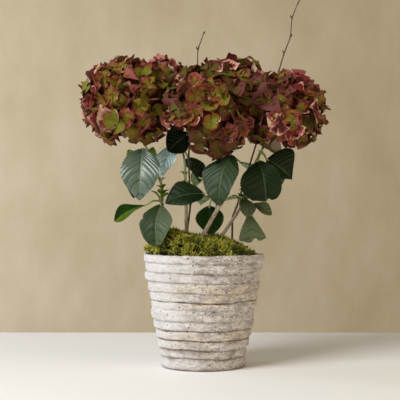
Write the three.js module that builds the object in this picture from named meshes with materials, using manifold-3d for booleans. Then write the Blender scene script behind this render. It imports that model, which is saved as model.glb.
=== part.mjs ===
// Mophead hydrangea in a lime-washed, ridged clay pot: five canes rise out of a mossed pot, each
// carries a leafy green shoot, and each shoot ends in a round bloom. Two bare dead shoots stand
// between them. Millimetres, +Z up, +Y towards the back, origin at the centre of the pot's underside.
import * as THREE from "three";
import { mergeVertices } from "three/addons/utils/BufferGeometryUtils.js";
import Module from "manifold-3d";

const wasm = await Module();
wasm.setup();

// ---------------------------------------------------------------- driving dimensions
const GAP = 0.3; // between pieces that rest on each other
const CLEAR = 0.6; // around a limb that runs through another piece
const FINEST = 0.1; // smaller steps and slivers left by a join are smoothed away
const RAD = Math.PI / 180;

const POT = { footRadius: 66.5, rimRadius: 96, wall: 9, floor: 12, rimDrop: 2.5, segments: 32 };
// Thrown bands from the foot up: [height, how far it stands proud of the pot's straight taper].
const BANDS = [
  [19, -0.8], [13.6, -1.6], [15, -0.4], [15, 0], [13.6, 1.2], [18.4, 0.8],
  [12, 0.8], [14.4, 0.3], [16, 1], [15, 0.8], [14.4, 0.2], [13.6, 0],
];
const GROOVE = { depth: 2.4, height: 1.6, shoulder: 0.8 };
const POT_HEIGHT = BANDS.reduce((sum, [height]) => sum + height, 0);

const SOIL_TOP = POT_HEIGHT - 12;
const MOSS = { x: -2, radius: 83, edge: 177, rings: 4, spokes: 20 };
const MOSS_RIDGE = { crest: 205, peak: 14, peakX: -58, peakWidth: 26, fallFrom: 25, fall: 0.34 };

// Brown canes: where each one leaves the soil, the joint where its green shoot starts, its radius.
const CANES = {
  left: { foot: [-58, -12], joint: [-67, -18, 260], radius: 3.1 },
  tall: { foot: [-27, 14], joint: [-29, 12, 262], radius: 3.1 },
  front: { foot: [-25, -8], joint: [28, -30, 262], radius: 3.5 },
  right: { foot: [1, 2], joint: [60, -5, 254], radius: 3 },
  back: { foot: [10, 38], joint: [22, 46, 258], radius: 2.7 },
};
const CANE = { sides: 7, steps: 5, flare: 1.5, flareHeight: 14, tip: 0.88, bow: 3 };

// Blooms: centre, radii across, deep, up and down, and how many florets stand on the core.
const BLOOMS = {
  left: { centre: [-123, -5, 423], across: 73, deep: 68, up: 70, down: 74, florets: 38 },
  tall: { centre: [-72, 72, 437], across: 62, deep: 60, up: 64, down: 70, florets: 30 },
  front: { centre: [4, -42, 404], across: 70, deep: 62, up: 78, down: 84, florets: 38 },
  right: { centre: [126, 4, 411], across: 70, deep: 66, up: 64, down: 68, florets: 36 },
  back: { centre: [50, 76, 438], across: 62, deep: 60, up: 63, down: 70, florets: 30 },
};
const BLOOM = { core: 0.83, coreDetail: 2, face: 0.93, widest: 132, stalkRadius: 2.6, reach: 1.05 };
const FLORET = { radius: 19.5, notch: 0.45, shoulder: 0.94, spread: 22, root: 4, cup: 0.14, tilt: 13 };
const FLORET_SIZES = [1, 0.8, 0.62];
// A round gap from front to back in the front bloom's lower left flank, where a leaf shows.
const FLANK_GAP = { bloom: "front", x: -42, z: 356, radius: 30 };

// Green shoots: points between joint and bloom, then leaves as
// [place along the shoot 0-1, foot of the blade, tip of the blade, width, turn about the midrib, arch,
// and, where a leaf is broadest near its tip, how much].
const SHOOTS = {
  left: {
    way: [[-67, -19, 286], [-74, -18, 306]],
    leaves: [
      [0.8, [-97, -26, 346], [-100, -52, 264], 62, -6, 14],
      [0.04, [-68, -36, 258], [-74, -62, 194], 54, 8, 12, 1],
      [0.03, [-90, -16, 258], [-142, -30, 232], 30, 60, 8, 2.1],
      [0.78, [-107, -2, 322], [-122, 4, 346], 18, 40, 3],
      [0.84, [-86, -4, 328], [-81, -4, 350], 16, 20, 3],
      [0.5, [-88, 10, 322], [-116, 44, 268], 50, 14, 10],
    ],
  },
  tall: {
    way: [[-30, 14, 296], [-33, 18, 336]],
    leaves: [
      [0.84, [-48, 22, 354], [-68, 14, 301], 40, -25, 5],
      [0.9, [-25, -2, 371], [-58, -10, 343], 44, 80, 4],
      [0.76, [-54, 50, 338], [-94, 94, 298], 52, 0, 12],
      [0.7, [-26, 36, 334], [-8, 64, 294], 36, 0, 8],
    ],
  },
  front: {
    way: [[30, -32, 290]],
    leaves: [
      [0.05, [1, -34, 275], [-61, -44, 261], 50, -48, 8],
      [0.86, [42, -56, 336], [22, -78, 256], 66, -8, 12],
      [0.3, [-8, -20, 300], [-20, -10, 324], 30, 0, 4],
      [0.04, [74, -14, 259], [108, -14, 242], 24, 56, 5, 1.5],
      [0.05, [62, -23, 268], [70, -34, 235], 28, 10, 4],
    ],
  },
  right: {
    way: [[66, -6, 284], [76, -4, 312]],
    leaves: [
      [0.9, [86, -22, 327], [97, -48, 263], 68, 14, 12, 1.1],
      [0.94, [100, -4, 330], [142, 6, 298], 60, 60, 4],
      [0.02, [68, -16, 256], [75, -30, 198], 42, 10, 6, 1.9],
      [0.62, [88, 12, 316], [118, 44, 278], 54, 0, 12],
    ],
  },
  back: {
    way: [[28, 50, 292], [38, 56, 330]],
    leaves: [
      [0.5, [32, 74, 316], [26, 118, 262], 58, 0, 14],
      [0.72, [60, 66, 328], [98, 92, 282], 54, 0, 12],
      [0.25, [9, 27, 256], [10, 36, 207], 46, 0, 5],
      [0.06, [12, 62, 268], [-6, 92, 258], 40, 0, 8],
      [0.55, [12, 66, 312], [-14, 96, 286], 40, 0, 8],
    ],
  },
};
const SHOOT = { base: 2.3, tip: 1.8, sides: 6, steps: 8, straight: 4 };
const LEAF = { broad: 0.9, thickShare: 0.015, fold: 0.14, stations: 6, stalkRadius: 1.3 };

// Dead shoots: their bends from the soil up, and the places along them that carry a bud.
const BARE = {
  left: {
    way: [
      [-33, 22, SOIL_TOP], [-22, 24, 256], [-25, 24, 338], [-11, 22, 467], [-10, 20, 508], [-1, 18, 533],
    ],
    buds: [[1, 0.5, 40], [4, 0, 200], [5, 0, 20]],
  },
  right: {
    way: [
      [45, 12, SOIL_TOP], [46, 16, 238], [53, 22, 254], [122, 38, 474], [131, 40, 505], [142, 42, 532],
      [144, 43, 563], [155, 44, 590], [166, 45, 606],
    ],
    buds: [[4, 0, 130], [5, 0, 30], [6, 0, 150], [8, 0, 20]],
  },
};
const TWIG = { base: 1.7, tip: 0.8, sides: 5, bud: 5.5, budRadius: 1.6 };

const COLOURS = {
  pot: { color: 0xd6cfc4, roughness: 0.9, metalness: 0 },
  soil: { color: 0x2e231a, roughness: 1, metalness: 0 },
  moss: { color: 0x5d6a17, roughness: 1, metalness: 0 },
  cane: { color: 0x8a7a5c, roughness: 0.8, metalness: 0 },
  foliage: { color: 0x2f4429, roughness: 0.45, metalness: 0 },
  bloom: { color: 0x74383a, roughness: 0.7, metalness: 0 },
  twig: { color: 0x5f4f3d, roughness: 0.85, metalness: 0 },
};

// ---------------------------------------------------------------- solids and vectors
const vec = (x, y, z) => new THREE.Vector3(x, y, z);
const at = (list) => vec(...list);

// Repeatable random numbers from 0 to 1.
function seeded(seed) {
  let state = seed;
  return () => {
    state = (state + 0x6d2b79f5) | 0;
    let t = Math.imul(state ^ (state >>> 15), 1 | state);
    t = (t + Math.imul(t ^ (t >>> 7), 61 | t)) ^ t;
    return ((t ^ (t >>> 14)) >>> 0) / 4294967296;
  };
}

// A manifold-3d solid of a closed three.js geometry.
function solidOf(geometry) {
  const bare = geometry.index ? geometry.toNonIndexed() : geometry;
  const place = new THREE.BufferGeometry().setAttribute("position", bare.getAttribute("position"));
  const merged = mergeVertices(place, 1e-4);
  const index = [];
  for (let i = 0; i < merged.index.count; i += 3) {
    const [a, b, c] = [0, 1, 2].map((k) => merged.index.getX(i + k));
    if (a !== b && b !== c && c !== a) index.push(a, b, c);
  }
  return new wasm.Manifold(
    new wasm.Mesh({
      numProp: 3,
      vertProperties: merged.attributes.position.array,
      triVerts: new Uint32Array(index),
    }),
  );
}

function geometryOf(points, faces) {
  const geometry = new THREE.BufferGeometry();
  geometry.setAttribute(
    "position",
    new THREE.Float32BufferAttribute(points.flatMap((p) => [p.x, p.y, p.z]), 3),
  );
  geometry.setIndex(faces.flat());
  return geometry;
}

// A solid's largest body, so that a scrap cut loose by a neighbour is dropped.
function largestBody(solid) {
  return solid.decompose().reduce((best, body) => (body.volume() > best.volume() ? body : best));
}

function meshOf(name, solid, look) {
  const made = largestBody(solid.simplify(FINEST)).getMesh();
  const geometry = new THREE.BufferGeometry();
  geometry.setAttribute("position", new THREE.BufferAttribute(new Float32Array(made.vertProperties), 3));
  geometry.setIndex(new THREE.BufferAttribute(new Uint32Array(made.triVerts), 1));
  const mesh = new THREE.Mesh(geometry, new THREE.MeshStandardMaterial(look));
  mesh.name = name;
  return mesh;
}

// A round limb through the given centres, with a radius for each, closed at both ends.
function limb(centres, radii, sides) {
  const points = [];
  let side = null;
  centres.forEach((centre, i) => {
    const before = centres[Math.max(i - 1, 0)];
    const after = centres[Math.min(i + 1, centres.length - 1)];
    const along = after.clone().sub(before).normalize();
    const hint = side ?? (Math.abs(along.x) < 0.9 ? vec(1, 0, 0) : vec(0, 1, 0));
    side = hint.clone().addScaledVector(along, -hint.dot(along)).normalize();
    const other = along.clone().cross(side);
    for (let k = 0; k < sides; k++) {
      const turn = (2 * Math.PI * k) / sides;
      points.push(
        centre.clone()
          .addScaledVector(side, radii[i] * Math.cos(turn))
          .addScaledVector(other, radii[i] * Math.sin(turn)),
      );
    }
  });
  const faces = [];
  for (let i = 0; i + 1 < centres.length; i++)
    for (let k = 0; k < sides; k++) {
      const [a, b] = [i * sides + k, i * sides + ((k + 1) % sides)];
      faces.push([a, b, b + sides], [a, b + sides, a + sides]);
    }
  const top = (centres.length - 1) * sides;
  for (let k = 1; k + 1 < sides; k++) {
    faces.push([0, k + 1, k], [top, top + k, top + k + 1]);
  }
  return solidOf(geometryOf(points, faces));
}

const smooth = (points, steps) => new THREE.CatmullRomCurve3(points, false, "centripetal").getPoints(steps);

// ---------------------------------------------------------------- pot, soil and moss
function turned(profile, segments) {
  const points = profile.map(([radius, height]) => new THREE.Vector2(radius, height));
  return solidOf(new THREE.LatheGeometry(points, segments).rotateX(Math.PI / 2));
}

const taper = (z) => POT.footRadius + ((POT.rimRadius - POT.footRadius) * z) / POT_HEIGHT;
const innerRadius = (z) => taper(z) - POT.wall;

function potSolid() {
  const outside = [[0, 0], [taper(0) - GROOVE.depth, 0]];
  let z = 0;
  BANDS.forEach(([height, proud], i) => {
    outside.push([taper(z + GROOVE.height) + proud, z + GROOVE.height]);
    outside.push([taper(z + height * GROOVE.shoulder) + proud, z + height * GROOVE.shoulder]);
    if (i + 1 < BANDS.length) {
      outside.push([taper(z + height) + Math.min(proud, BANDS[i + 1][1]) - GROOVE.depth, z + height]);
    }
    z += height;
  });
  const rim = [[POT.rimRadius, z - POT.rimDrop], [POT.rimRadius - 2, z], [innerRadius(z) + 2, z]];
  const inside = [[innerRadius(z), z - POT.rimDrop], [innerRadius(POT.floor), POT.floor], [0, POT.floor]];
  return turned([...outside, ...rim, ...inside], POT.segments);
}

function soilSolid() {
  const low = POT.floor + GAP;
  return turned(
    [[0, low], [innerRadius(low) - 1, low], [innerRadius(SOIL_TOP) - 1, SOIL_TOP], [0, SOIL_TOP]],
    POT.segments,
  );
}

// Height of the moss: highest at the left, falling away at the right and rounding off at its edge.
function mossHeight(x, y) {
  const outward = Math.min(Math.hypot(x - MOSS.x, y) / MOSS.radius, 1);
  const hump = MOSS_RIDGE.peak * Math.exp(-(((x - MOSS_RIDGE.peakX) / MOSS_RIDGE.peakWidth) ** 2));
  const fall = MOSS_RIDGE.fall * Math.max(0, x - MOSS_RIDGE.fallFrom);
  const lumps = 1.6 * Math.sin(x * 0.13 + 1) * Math.cos(y * 0.11);
  return MOSS.edge + (MOSS_RIDGE.crest + hump - fall + lumps - MOSS.edge) * (1 - outward ** 6);
}

function mossSolid() {
  const floor = SOIL_TOP + GAP;
  const points = [vec(MOSS.x, 0, mossHeight(MOSS.x, 0)), vec(MOSS.x, 0, floor)];
  for (let ring = 1; ring <= MOSS.rings; ring++)
    for (let k = 0; k < MOSS.spokes; k++) {
      const turn = (2 * Math.PI * k) / MOSS.spokes;
      const reach = MOSS.radius * (ring / MOSS.rings) ** 0.6;
      const [x, y] = [MOSS.x + reach * Math.cos(turn), reach * Math.sin(turn)];
      points.push(vec(x, y, mossHeight(x, y)));
    }
  const rim = points.length;
  for (let k = 0; k < MOSS.spokes; k++) {
    const turn = (2 * Math.PI * k) / MOSS.spokes;
    points.push(vec(MOSS.x + MOSS.radius * Math.cos(turn), MOSS.radius * Math.sin(turn), floor));
  }
  const faces = [];
  for (let k = 0; k < MOSS.spokes; k++) {
    const next = (k + 1) % MOSS.spokes;
    faces.push([0, 2 + k, 2 + next], [1, rim + next, rim + k]);
    for (let ring = 0; ring < MOSS.rings; ring++) {
      const [a, b] = [2 + ring * MOSS.spokes + k, 2 + ring * MOSS.spokes + next];
      const last = ring === MOSS.rings - 1;
      const [c, d] = last ? [rim + k, rim + next] : [a + MOSS.spokes, b + MOSS.spokes];
      faces.push([a, c, d], [a, d, b]);
    }
  }
  return solidOf(geometryOf(points, faces));
}

// ---------------------------------------------------------------- canes and dead shoots
function caneCentres({ foot, joint }) {
  const start = vec(...foot, SOIL_TOP + GAP);
  const end = at(joint);
  return Array.from({ length: CANE.steps + 1 }, (_, i) => {
    const share = i / CANE.steps;
    const centre = start.clone().lerp(end, share);
    centre.y += CANE.bow * Math.sin(Math.PI * share);
    return centre;
  });
}

function caneSolid(cane, extra = 0) {
  const centres = caneCentres(cane);
  const radii = centres.map(({ z }, i) => {
    const flare = CANE.flare * Math.max(0, 1 - (z - SOIL_TOP) / CANE.flareHeight);
    return cane.radius * (1 - ((1 - CANE.tip) * i) / CANE.steps) + flare + extra;
  });
  const solid = limb(centres, radii, CANE.sides);
  return solid.intersect(halfSpaceAbove(SOIL_TOP + GAP));
}

// A large block with its underside at the given height, which trims a leaning limb flat.
function halfSpaceAbove(height) {
  const size = 2000;
  return solidOf(new THREE.BoxGeometry(size, size, size).translate(0, 0, height + size / 2));
}

function budSolid(place, heading, rise) {
  const outward = vec(Math.cos(heading * RAD), Math.sin(heading * RAD), rise).normalize();
  const tip = place.clone().addScaledVector(outward, TWIG.bud);
  const middle = place.clone().addScaledVector(outward, TWIG.bud * 0.45);
  return limb([place, middle, tip], [0.5, TWIG.budRadius, 0.3], 4);
}

function bareShoot({ way, buds }, extra = 0) {
  const centres = way.map(at);
  centres[0].z += GAP;
  const radii = centres.map((_, i) => TWIG.base + ((TWIG.tip - TWIG.base) * i) / (centres.length - 1) + extra);
  let solid = limb(centres, radii, TWIG.sides).intersect(halfSpaceAbove(SOIL_TOP + GAP));
  for (const [index, share, heading] of extra ? [] : buds) {
    const next = centres[Math.min(index + 1, centres.length - 1)];
    solid = solid.add(budSolid(centres[index].clone().lerp(next, share), heading, 1.6));
  }
  return solid;
}

// ---------------------------------------------------------------- blooms
const radiiOf = (bloom, direction) =>
  vec(bloom.across, bloom.deep, direction.z > 0 ? bloom.up : bloom.down);

const onBloom = (bloom, direction, share) =>
  at(bloom.centre).add(direction.clone().multiply(radiiOf(bloom, direction)).multiplyScalar(share));

// The plane between two blooms, nearer the smaller one, as a normal that points at the other bloom.
function borderPlane(name, other) {
  const [here, there] = [at(BLOOMS[name].centre), at(BLOOMS[other].centre)];
  const apart = there.distanceTo(here);
  const [mine, theirs] = [BLOOMS[name].across, BLOOMS[other].across];
  const normal = there.clone().sub(here).divideScalar(apart);
  const reach = (apart ** 2 + mine ** 2 - theirs ** 2) / (2 * apart);
  return { normal, offset: normal.dot(here) + reach };
}

// How far a point lies on the bloom's own side of every such plane.
function ownSide(name, point) {
  const others = Object.keys(BLOOMS).filter((other) => other !== name);
  return Math.min(
    ...others.map((other) => {
      const { normal, offset } = borderPlane(name, other);
      return offset - normal.dot(point);
    }),
  );
}

// One floret: four round sepals that narrow underneath to a root sunk in the core.
function floret(bloom, direction, share, random) {
  const lift = BLOOM.face + 0.08 * (random() - 0.5);
  const face = onBloom(bloom, direction, lift);
  const root = onBloom(bloom, direction, BLOOM.core);
  const outward = face.clone().sub(root).normalize();
  root.addScaledVector(outward, -FLORET.root);
  const tilt = vec(random() - 0.5, random() - 0.5, random() - 0.5).multiplyScalar(Math.tan(FLORET.tilt * RAD));
  const normal = outward.add(tilt.multiplyScalar(2)).normalize();
  const side = vec(-normal.y, normal.x, 0.01).addScaledVector(normal, -0.01 * normal.z).normalize();
  const other = normal.clone().cross(side);
  const [spin, size] = [random() * Math.PI, FLORET.radius * share * (0.9 + 0.2 * random())];
  const cup = FLORET.cup * (random() - 0.2);
  const rim = [];
  for (let sepal = 0; sepal < 4; sepal++) {
    const middle = spin + (sepal * Math.PI) / 2;
    const lobe = [[-Math.PI / 4, FLORET.notch], [-FLORET.spread * RAD, FLORET.shoulder], [FLORET.spread * RAD, 1]];
    for (const [turn, reach] of lobe) {
      rim.push(
        face.clone()
          .addScaledVector(side, size * reach * Math.cos(middle + turn))
          .addScaledVector(other, size * reach * Math.sin(middle + turn))
          .addScaledVector(normal, size * cup * reach ** 2),
      );
    }
  }
  const top = rim.length;
  const points = [...rim, face.clone().addScaledVector(normal, 0.6), root];
  const faces = rim.flatMap((_, k) => {
    const next = (k + 1) % rim.length;
    return [[k, next, top], [next, k, top + 1]];
  });
  return { points: rim, solid: solidOf(geometryOf(points, faces)) };
}

const inFlankGap = (name, point) =>
  name === FLANK_GAP.bloom && Math.hypot(point.x - FLANK_GAP.x, point.z - FLANK_GAP.z) < FLANK_GAP.radius;

function flankGapSolid() {
  const { x, z, radius } = FLANK_GAP;
  return solidOf(new THREE.CylinderGeometry(radius, radius, 300, 20).translate(x, 0, z));
}

// The core, cut back to the planes halfway to the neighbouring blooms.
function coreSolid(name) {
  const core = new THREE.IcosahedronGeometry(1, BLOOM.coreDetail);
  const place = core.getAttribute("position");
  for (let i = 0; i < place.count; i++) {
    const direction = vec(place.getX(i), place.getY(i), place.getZ(i));
    place.setXYZ(i, ...onBloom(BLOOMS[name], direction, BLOOM.core));
  }
  const neighbours = Object.keys(BLOOMS).filter((other) => other !== name);
  return neighbours.reduce((solid, other) => {
    const { normal, offset } = borderPlane(name, other);
    return solid.trimByPlane([-normal.x, -normal.y, -normal.z], -offset + GAP);
  }, solidOf(core));
}

function bloomSolid(name, seed, clearances) {
  const bloom = BLOOMS[name];
  const random = seeded(seed);
  let solid = coreSolid(name);
  if (name === FLANK_GAP.bloom) solid = solid.subtract(flankGapSolid());
  for (let k = 0; k < bloom.florets; k++) {
    const height = 1 - ((k + 0.5) / bloom.florets) * (1 - Math.cos(BLOOM.widest * RAD));
    const turn = k * Math.PI * (3 - Math.sqrt(5)) + seed;
    const ring = Math.sqrt(1 - height ** 2);
    const direction = vec(ring * Math.cos(turn), ring * Math.sin(turn), height);
    const made = FLORET_SIZES.map((share) => floret(bloom, direction, share, random)).find(
      ({ points }) => points.every((point) => ownSide(name, point) > GAP && !inFlankGap(name, point)),
    );
    if (made) solid = solid.add(made.solid);
  }
  const [low, high] = stalkEnds(name);
  solid = solid.add(limb([low, high], [BLOOM.stalkRadius * 0.8, BLOOM.stalkRadius], SHOOT.sides));
  return clearances.reduce((rest, tube) => rest.subtract(tube), solid);
}

// A bloom's stalk runs from just above its shoot's tip into the core.
function stalkEnds(name) {
  const { way } = SHOOTS[name];
  const centre = at(BLOOMS[name].centre);
  const outward = at(way[way.length - 1]).sub(centre).normalize();
  const reach = BLOOM.reach * BLOOMS[name].down;
  return [centre.clone().addScaledVector(outward, reach), centre.clone().addScaledVector(outward, reach * 0.4)];
}

// ---------------------------------------------------------------- leaves and shoots
// Half the blade's width at a share of its length; above 1, broad moves the widest place to the tip.
const halfWidth = (share, broad) => Math.sin(Math.PI * share ** broad) ** 0.8 / 2;

function leafSolid(root, [, foot, tip, width, turn, arch, broad = LEAF.broad]) {
  const [from, to] = [at(foot), at(tip)];
  const along = to.clone().sub(from);
  const length = along.length();
  along.divideScalar(length);
  const level = vec(-along.y, along.x, 0).normalize();
  const across = level.applyAxisAngle(along, turn * RAD);
  const normal = along.clone().cross(across);
  if (normal.z < 0) normal.negate();
  const thick = Math.max(1, length * LEAF.thickShare);
  const midrib = (share) =>
    from.clone().addScaledVector(along, length * share).addScaledVector(normal, arch * Math.sin(Math.PI * share));
  const points = [from];
  for (let i = 1; i < LEAF.stations; i++) {
    const share = i / LEAF.stations;
    const half = width * halfWidth(share, broad);
    const body = thick * (1 - 0.5 * share) * 0.5;
    const centre = midrib(share);
    const edge = (side) =>
      centre.clone().addScaledVector(across, side * half).addScaledVector(normal, LEAF.fold * half);
    points.push(
      edge(-1), centre.clone().addScaledVector(normal, -body), edge(1), centre.clone().addScaledVector(normal, body),
    );
  }
  points.push(to);
  const last = points.length - 1;
  const faces = [];
  for (let k = 0; k < 4; k++) {
    const next = (k + 1) % 4;
    faces.push([0, 1 + next, 1 + k], [last, last - 4 + k, last - 4 + next]);
    for (let from = 1; from + 4 < last; from += 4) {
      faces.push([from + k, from + next, from + 4 + next], [from + k, from + 4 + next, from + 4 + k]);
    }
  }
  const blade = facingOut(geometryOf(points, faces));
  const knee = root.clone().lerp(from, 0.6).add(vec(0, 0, root.distanceTo(from) * 0.12));
  const radii = [1.3, 1, 0.7].map((share) => LEAF.stalkRadius * share);
  return blade.add(limb([root, knee, midrib(0.7 / LEAF.stations)], radii, 4));
}

// The solid of a closed shape whose faces may all have been listed the wrong way round.
function facingOut(geometry) {
  const solid = solidOf(geometry);
  if (solid.volume() > 0) return solid;
  const index = geometry.getIndex();
  for (let i = 0; i < index.count; i += 3) {
    const [a, b] = [index.getX(i), index.getX(i + 1)];
    index.setX(i, b);
    index.setX(i + 1, a);
  }
  return solidOf(geometry);
}

// A shoot with its leaves. A leaf that would touch what is already there is left out.
function shootSolid(name, taken) {
  const { way, leaves } = SHOOTS[name];
  const [beforeJoint, joint] = caneCentres(CANES[name]).slice(-2);
  const [stalkLow, stalkHigh] = stalkEnds(name);
  const fromCane = joint.clone().sub(beforeJoint).normalize();
  const intoBloom = stalkHigh.clone().sub(stalkLow).normalize();
  const bottom = joint.clone().addScaledVector(fromCane, GAP);
  const top = stalkLow.clone().addScaledVector(intoBloom, -GAP);
  const inner = [
    bottom.clone().addScaledVector(fromCane, SHOOT.straight),
    ...way.map(at),
    top.clone().addScaledVector(intoBloom, -SHOOT.straight),
  ];
  const curve = new THREE.CatmullRomCurve3(inner, false, "centripetal");
  const centres = [bottom, ...curve.getPoints(SHOOT.steps), top];
  const radii = centres.map((_, i) => SHOOT.base + ((SHOOT.tip - SHOOT.base) * i) / (centres.length - 1));
  let solid = limb(centres, radii, SHOOT.sides);
  for (const leaf of leaves) {
    const made = leafSolid(curve.getPoint(leaf[0]), leaf);
    const hit = taken.find(([, other]) => made.minGap(other, 2) < GAP);
    if (hit) console.log(`leaf left out of ${name}: ${leaf} touches ${hit[0]}`);
    else solid = solid.add(made);
  }
  return solid;
}

// ---------------------------------------------------------------- assembly
const plant = new THREE.Group();
const taken = [];
const place = (name, solid, look) => {
  plant.add(meshOf(name, solid, look));
  taken.push([name, largestBody(solid)]);
};

place("pot", potSolid(), COLOURS.pot);
place("soil", soilSolid(), COLOURS.soil);
const limbRoom = [
  ...Object.values(CANES).map((cane) => caneSolid(cane, CLEAR)),
  ...Object.values(BARE).map((shoot) => bareShoot(shoot, CLEAR)),
];
place("moss", limbRoom.reduce((moss, room) => moss.subtract(room), mossSolid()), COLOURS.moss);
for (const [name, cane] of Object.entries(CANES)) place(`cane_${name}`, caneSolid(cane), COLOURS.cane);
for (const [name, shoot] of Object.entries(BARE)) place(`bare_shoot_${name}`, bareShoot(shoot), COLOURS.twig);
Object.keys(BLOOMS).forEach((name, i) => {
  const clearances = Object.values(BARE).map((shoot) => bareShoot(shoot, CLEAR));
  place(`bloom_${name}`, bloomSolid(name, 12 + 7 * i, clearances), COLOURS.bloom);
});
for (const name of Object.keys(SHOOTS)) place(`foliage_${name}`, shootSolid(name, taken), COLOURS.foliage);

export default plant;
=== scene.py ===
"""A mophead hydrangea in a limewashed, ridged clay pot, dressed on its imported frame.

Laid out as a Blender add-on and run as a script. Metres, +Z up, +Y towards the back, with the
origin at the centre of the pot's underside. The plant's tables are in millimetres, as a grower
would measure.
"""

import math
from collections import namedtuple

import bpy
import numpy as np
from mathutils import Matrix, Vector, noise


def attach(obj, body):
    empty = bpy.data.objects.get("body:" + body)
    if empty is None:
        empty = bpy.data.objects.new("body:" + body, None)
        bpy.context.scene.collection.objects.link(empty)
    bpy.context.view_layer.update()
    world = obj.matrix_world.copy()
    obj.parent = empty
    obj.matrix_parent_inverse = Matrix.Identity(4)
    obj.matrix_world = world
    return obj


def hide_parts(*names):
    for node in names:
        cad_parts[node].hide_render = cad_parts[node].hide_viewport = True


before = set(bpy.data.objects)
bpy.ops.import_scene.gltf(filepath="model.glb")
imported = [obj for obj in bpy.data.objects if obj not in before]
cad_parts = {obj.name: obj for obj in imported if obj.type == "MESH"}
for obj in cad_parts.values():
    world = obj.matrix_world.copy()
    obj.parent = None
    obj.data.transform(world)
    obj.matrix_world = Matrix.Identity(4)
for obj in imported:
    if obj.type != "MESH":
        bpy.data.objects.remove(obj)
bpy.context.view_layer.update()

bl_info = {
    "name": "Potted Mophead Hydrangea",
    "version": (1, 0, 0),
    "blender": (4, 5, 0),
    "location": "View3D > Sidebar > Hydrangea",
    "description": "Builds a potted hydrangea with its moss, canes, leaves and autumn blooms",
    "category": "Add Mesh",
}

MM = 0.001
GOLDEN = math.pi * (3 - math.sqrt(5))
BLACK, WHITE = (0, 0, 0), (1, 1, 1)


def linear(hex_colour):
    """An sRGB hex colour as the linear red, green and blue that Blender works in."""
    parts = [int(hex_colour[i : i + 2], 16) / 255 for i in (0, 2, 4)]
    return tuple(c / 12.92 if c <= 0.04045 else ((c + 0.055) / 1.055) ** 2.4 for c in parts)


# ------------------------------------------------------------------ the plant's measures, mm
# Thrown bands of the pot, foot to rim: height, and how far the band stands proud of the taper.
BANDS = [
    (19, -0.8), (13.6, -1.6), (15, -0.4), (15, 0), (13.6, 1.2), (18.4, 0.8),
    (12, 0.8), (14.4, 0.3), (16, 1), (15, 0.8), (14.4, 0.2), (13.6, 0),
]
POT_HEIGHT = sum(height for height, _ in BANDS)
POT_TOP = POT_HEIGHT * MM
POT_SPOKES = 160
# How a band swells: place on its height as a share, and how far it stands out there.
BAND_SWELL = ((0.07, 0.3), (0.13, 0.9), (0.26, 1.0), (0.48, 0.6), (0.72, 0.0), (0.9, -0.6))
# How deep the groove above each band cuts, as a share of the usual depth, and how far each band
# was thrown off the pot's axis to the right.
GROOVES = (0.5, 0.6, 1.3, 1.2, 0.8, 0.5, 1.4, 0.7, 0.95, 0.95, 0.6)
OFF_AXIS = (-1.2, -1.6, -1.2, -0.6, -0.6, -2.4, -0.2, 0.2, -0.2, -3.2, 0, 0)
SOIL_TOP = POT_HEIGHT - 12
CLEAR = 0.3  # room between a piece and what carries it
MOSS = {"x": -2, "radius": 83, "edge": 177, "crest": 205, "peak": 14, "peak_x": -58,
        "peak_width": 26, "fall_from": 25, "fall": 0.34}

# Each cane: where it leaves the soil, the joint where its green shoot starts, its radius.
CANES = {
    "left": ((-58, -12), (-67, -18, 260), 3.1),
    "tall": ((-27, 14), (-29, 12, 262), 3.1),
    "front": ((-25, -8), (28, -30, 262), 3.5),
    "right": ((1, 2), (60, -5, 254), 3.0),
    "back": ((10, 38), (22, 46, 258), 2.7),
}
CANE_STEPS, CANE_BOW = 5, 3

# Each bloom: centre, half its size across, deep, upward and downward, and its florets' number.
Bloom = namedtuple("Bloom", "centre across deep up down florets")
BLOOMS = {
    "left": Bloom((-123, -5, 423), 73, 68, 70, 74, 112),
    "tall": Bloom((-72, 72, 437), 62, 60, 64, 70, 84),
    "front": Bloom((4, -42, 404), 70, 62, 78, 84, 112),
    "right": Bloom((126, 4, 411), 70, 66, 58, 68, 106),
    "back": Bloom((50, 76, 438), 62, 60, 63, 70, 84),
}
# Tints dealt out over each bloom: share of its florets that are pink, share that stand dark in
# shade, and how far the green of the hearts still reaches.
BLOOM_TINTS = {
    "left": (0.1, 0.04, 0.1), "tall": (0.12, 0.3, 0.03), "front": (0.04, 0.86, 0.08),
    "right": (0.16, 0.5, 0.02), "back": (0.12, 0.3, 0.02),
}
# A bloom's palette: six stages from green heart to rose, then the other finishes, then the six
# stages again as they look in shade.
TINT_STAGES = 6
(OLD_PINK, PALE_EDGE, SHADED_OLIVE, SHADED_WINE, OLIVE_BELOW, ROSE_BELOW, CREAM_BELOW, FLORET_BUD,
 FLORET_STALK, IN_SHADE) = range(TINT_STAGES, TINT_STAGES + 10)
SEPAL_LINES = 7  # lines along and across the grid of one sepal
# Two layers of florets: their reach as a share of the bloom's half size, and how many degrees down
# from the top they go.
OUTER_REACH, OUTER_LOWEST = 0.87, 148
INNER_REACH, INNER_LOWEST = 0.74, 130
# Florets that fill a hole in the outer layer, by their direction from the heart of the bloom.
EXTRA_FLORETS = {"left": [(-0.77, -0.62, 0.14)]}
# A round gap from front to back in the front bloom's lower left flank, where a leaf shows.
FLANK_GAP = {"bloom": "front", "x": -42, "z": 356, "radius": 30}

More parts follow.
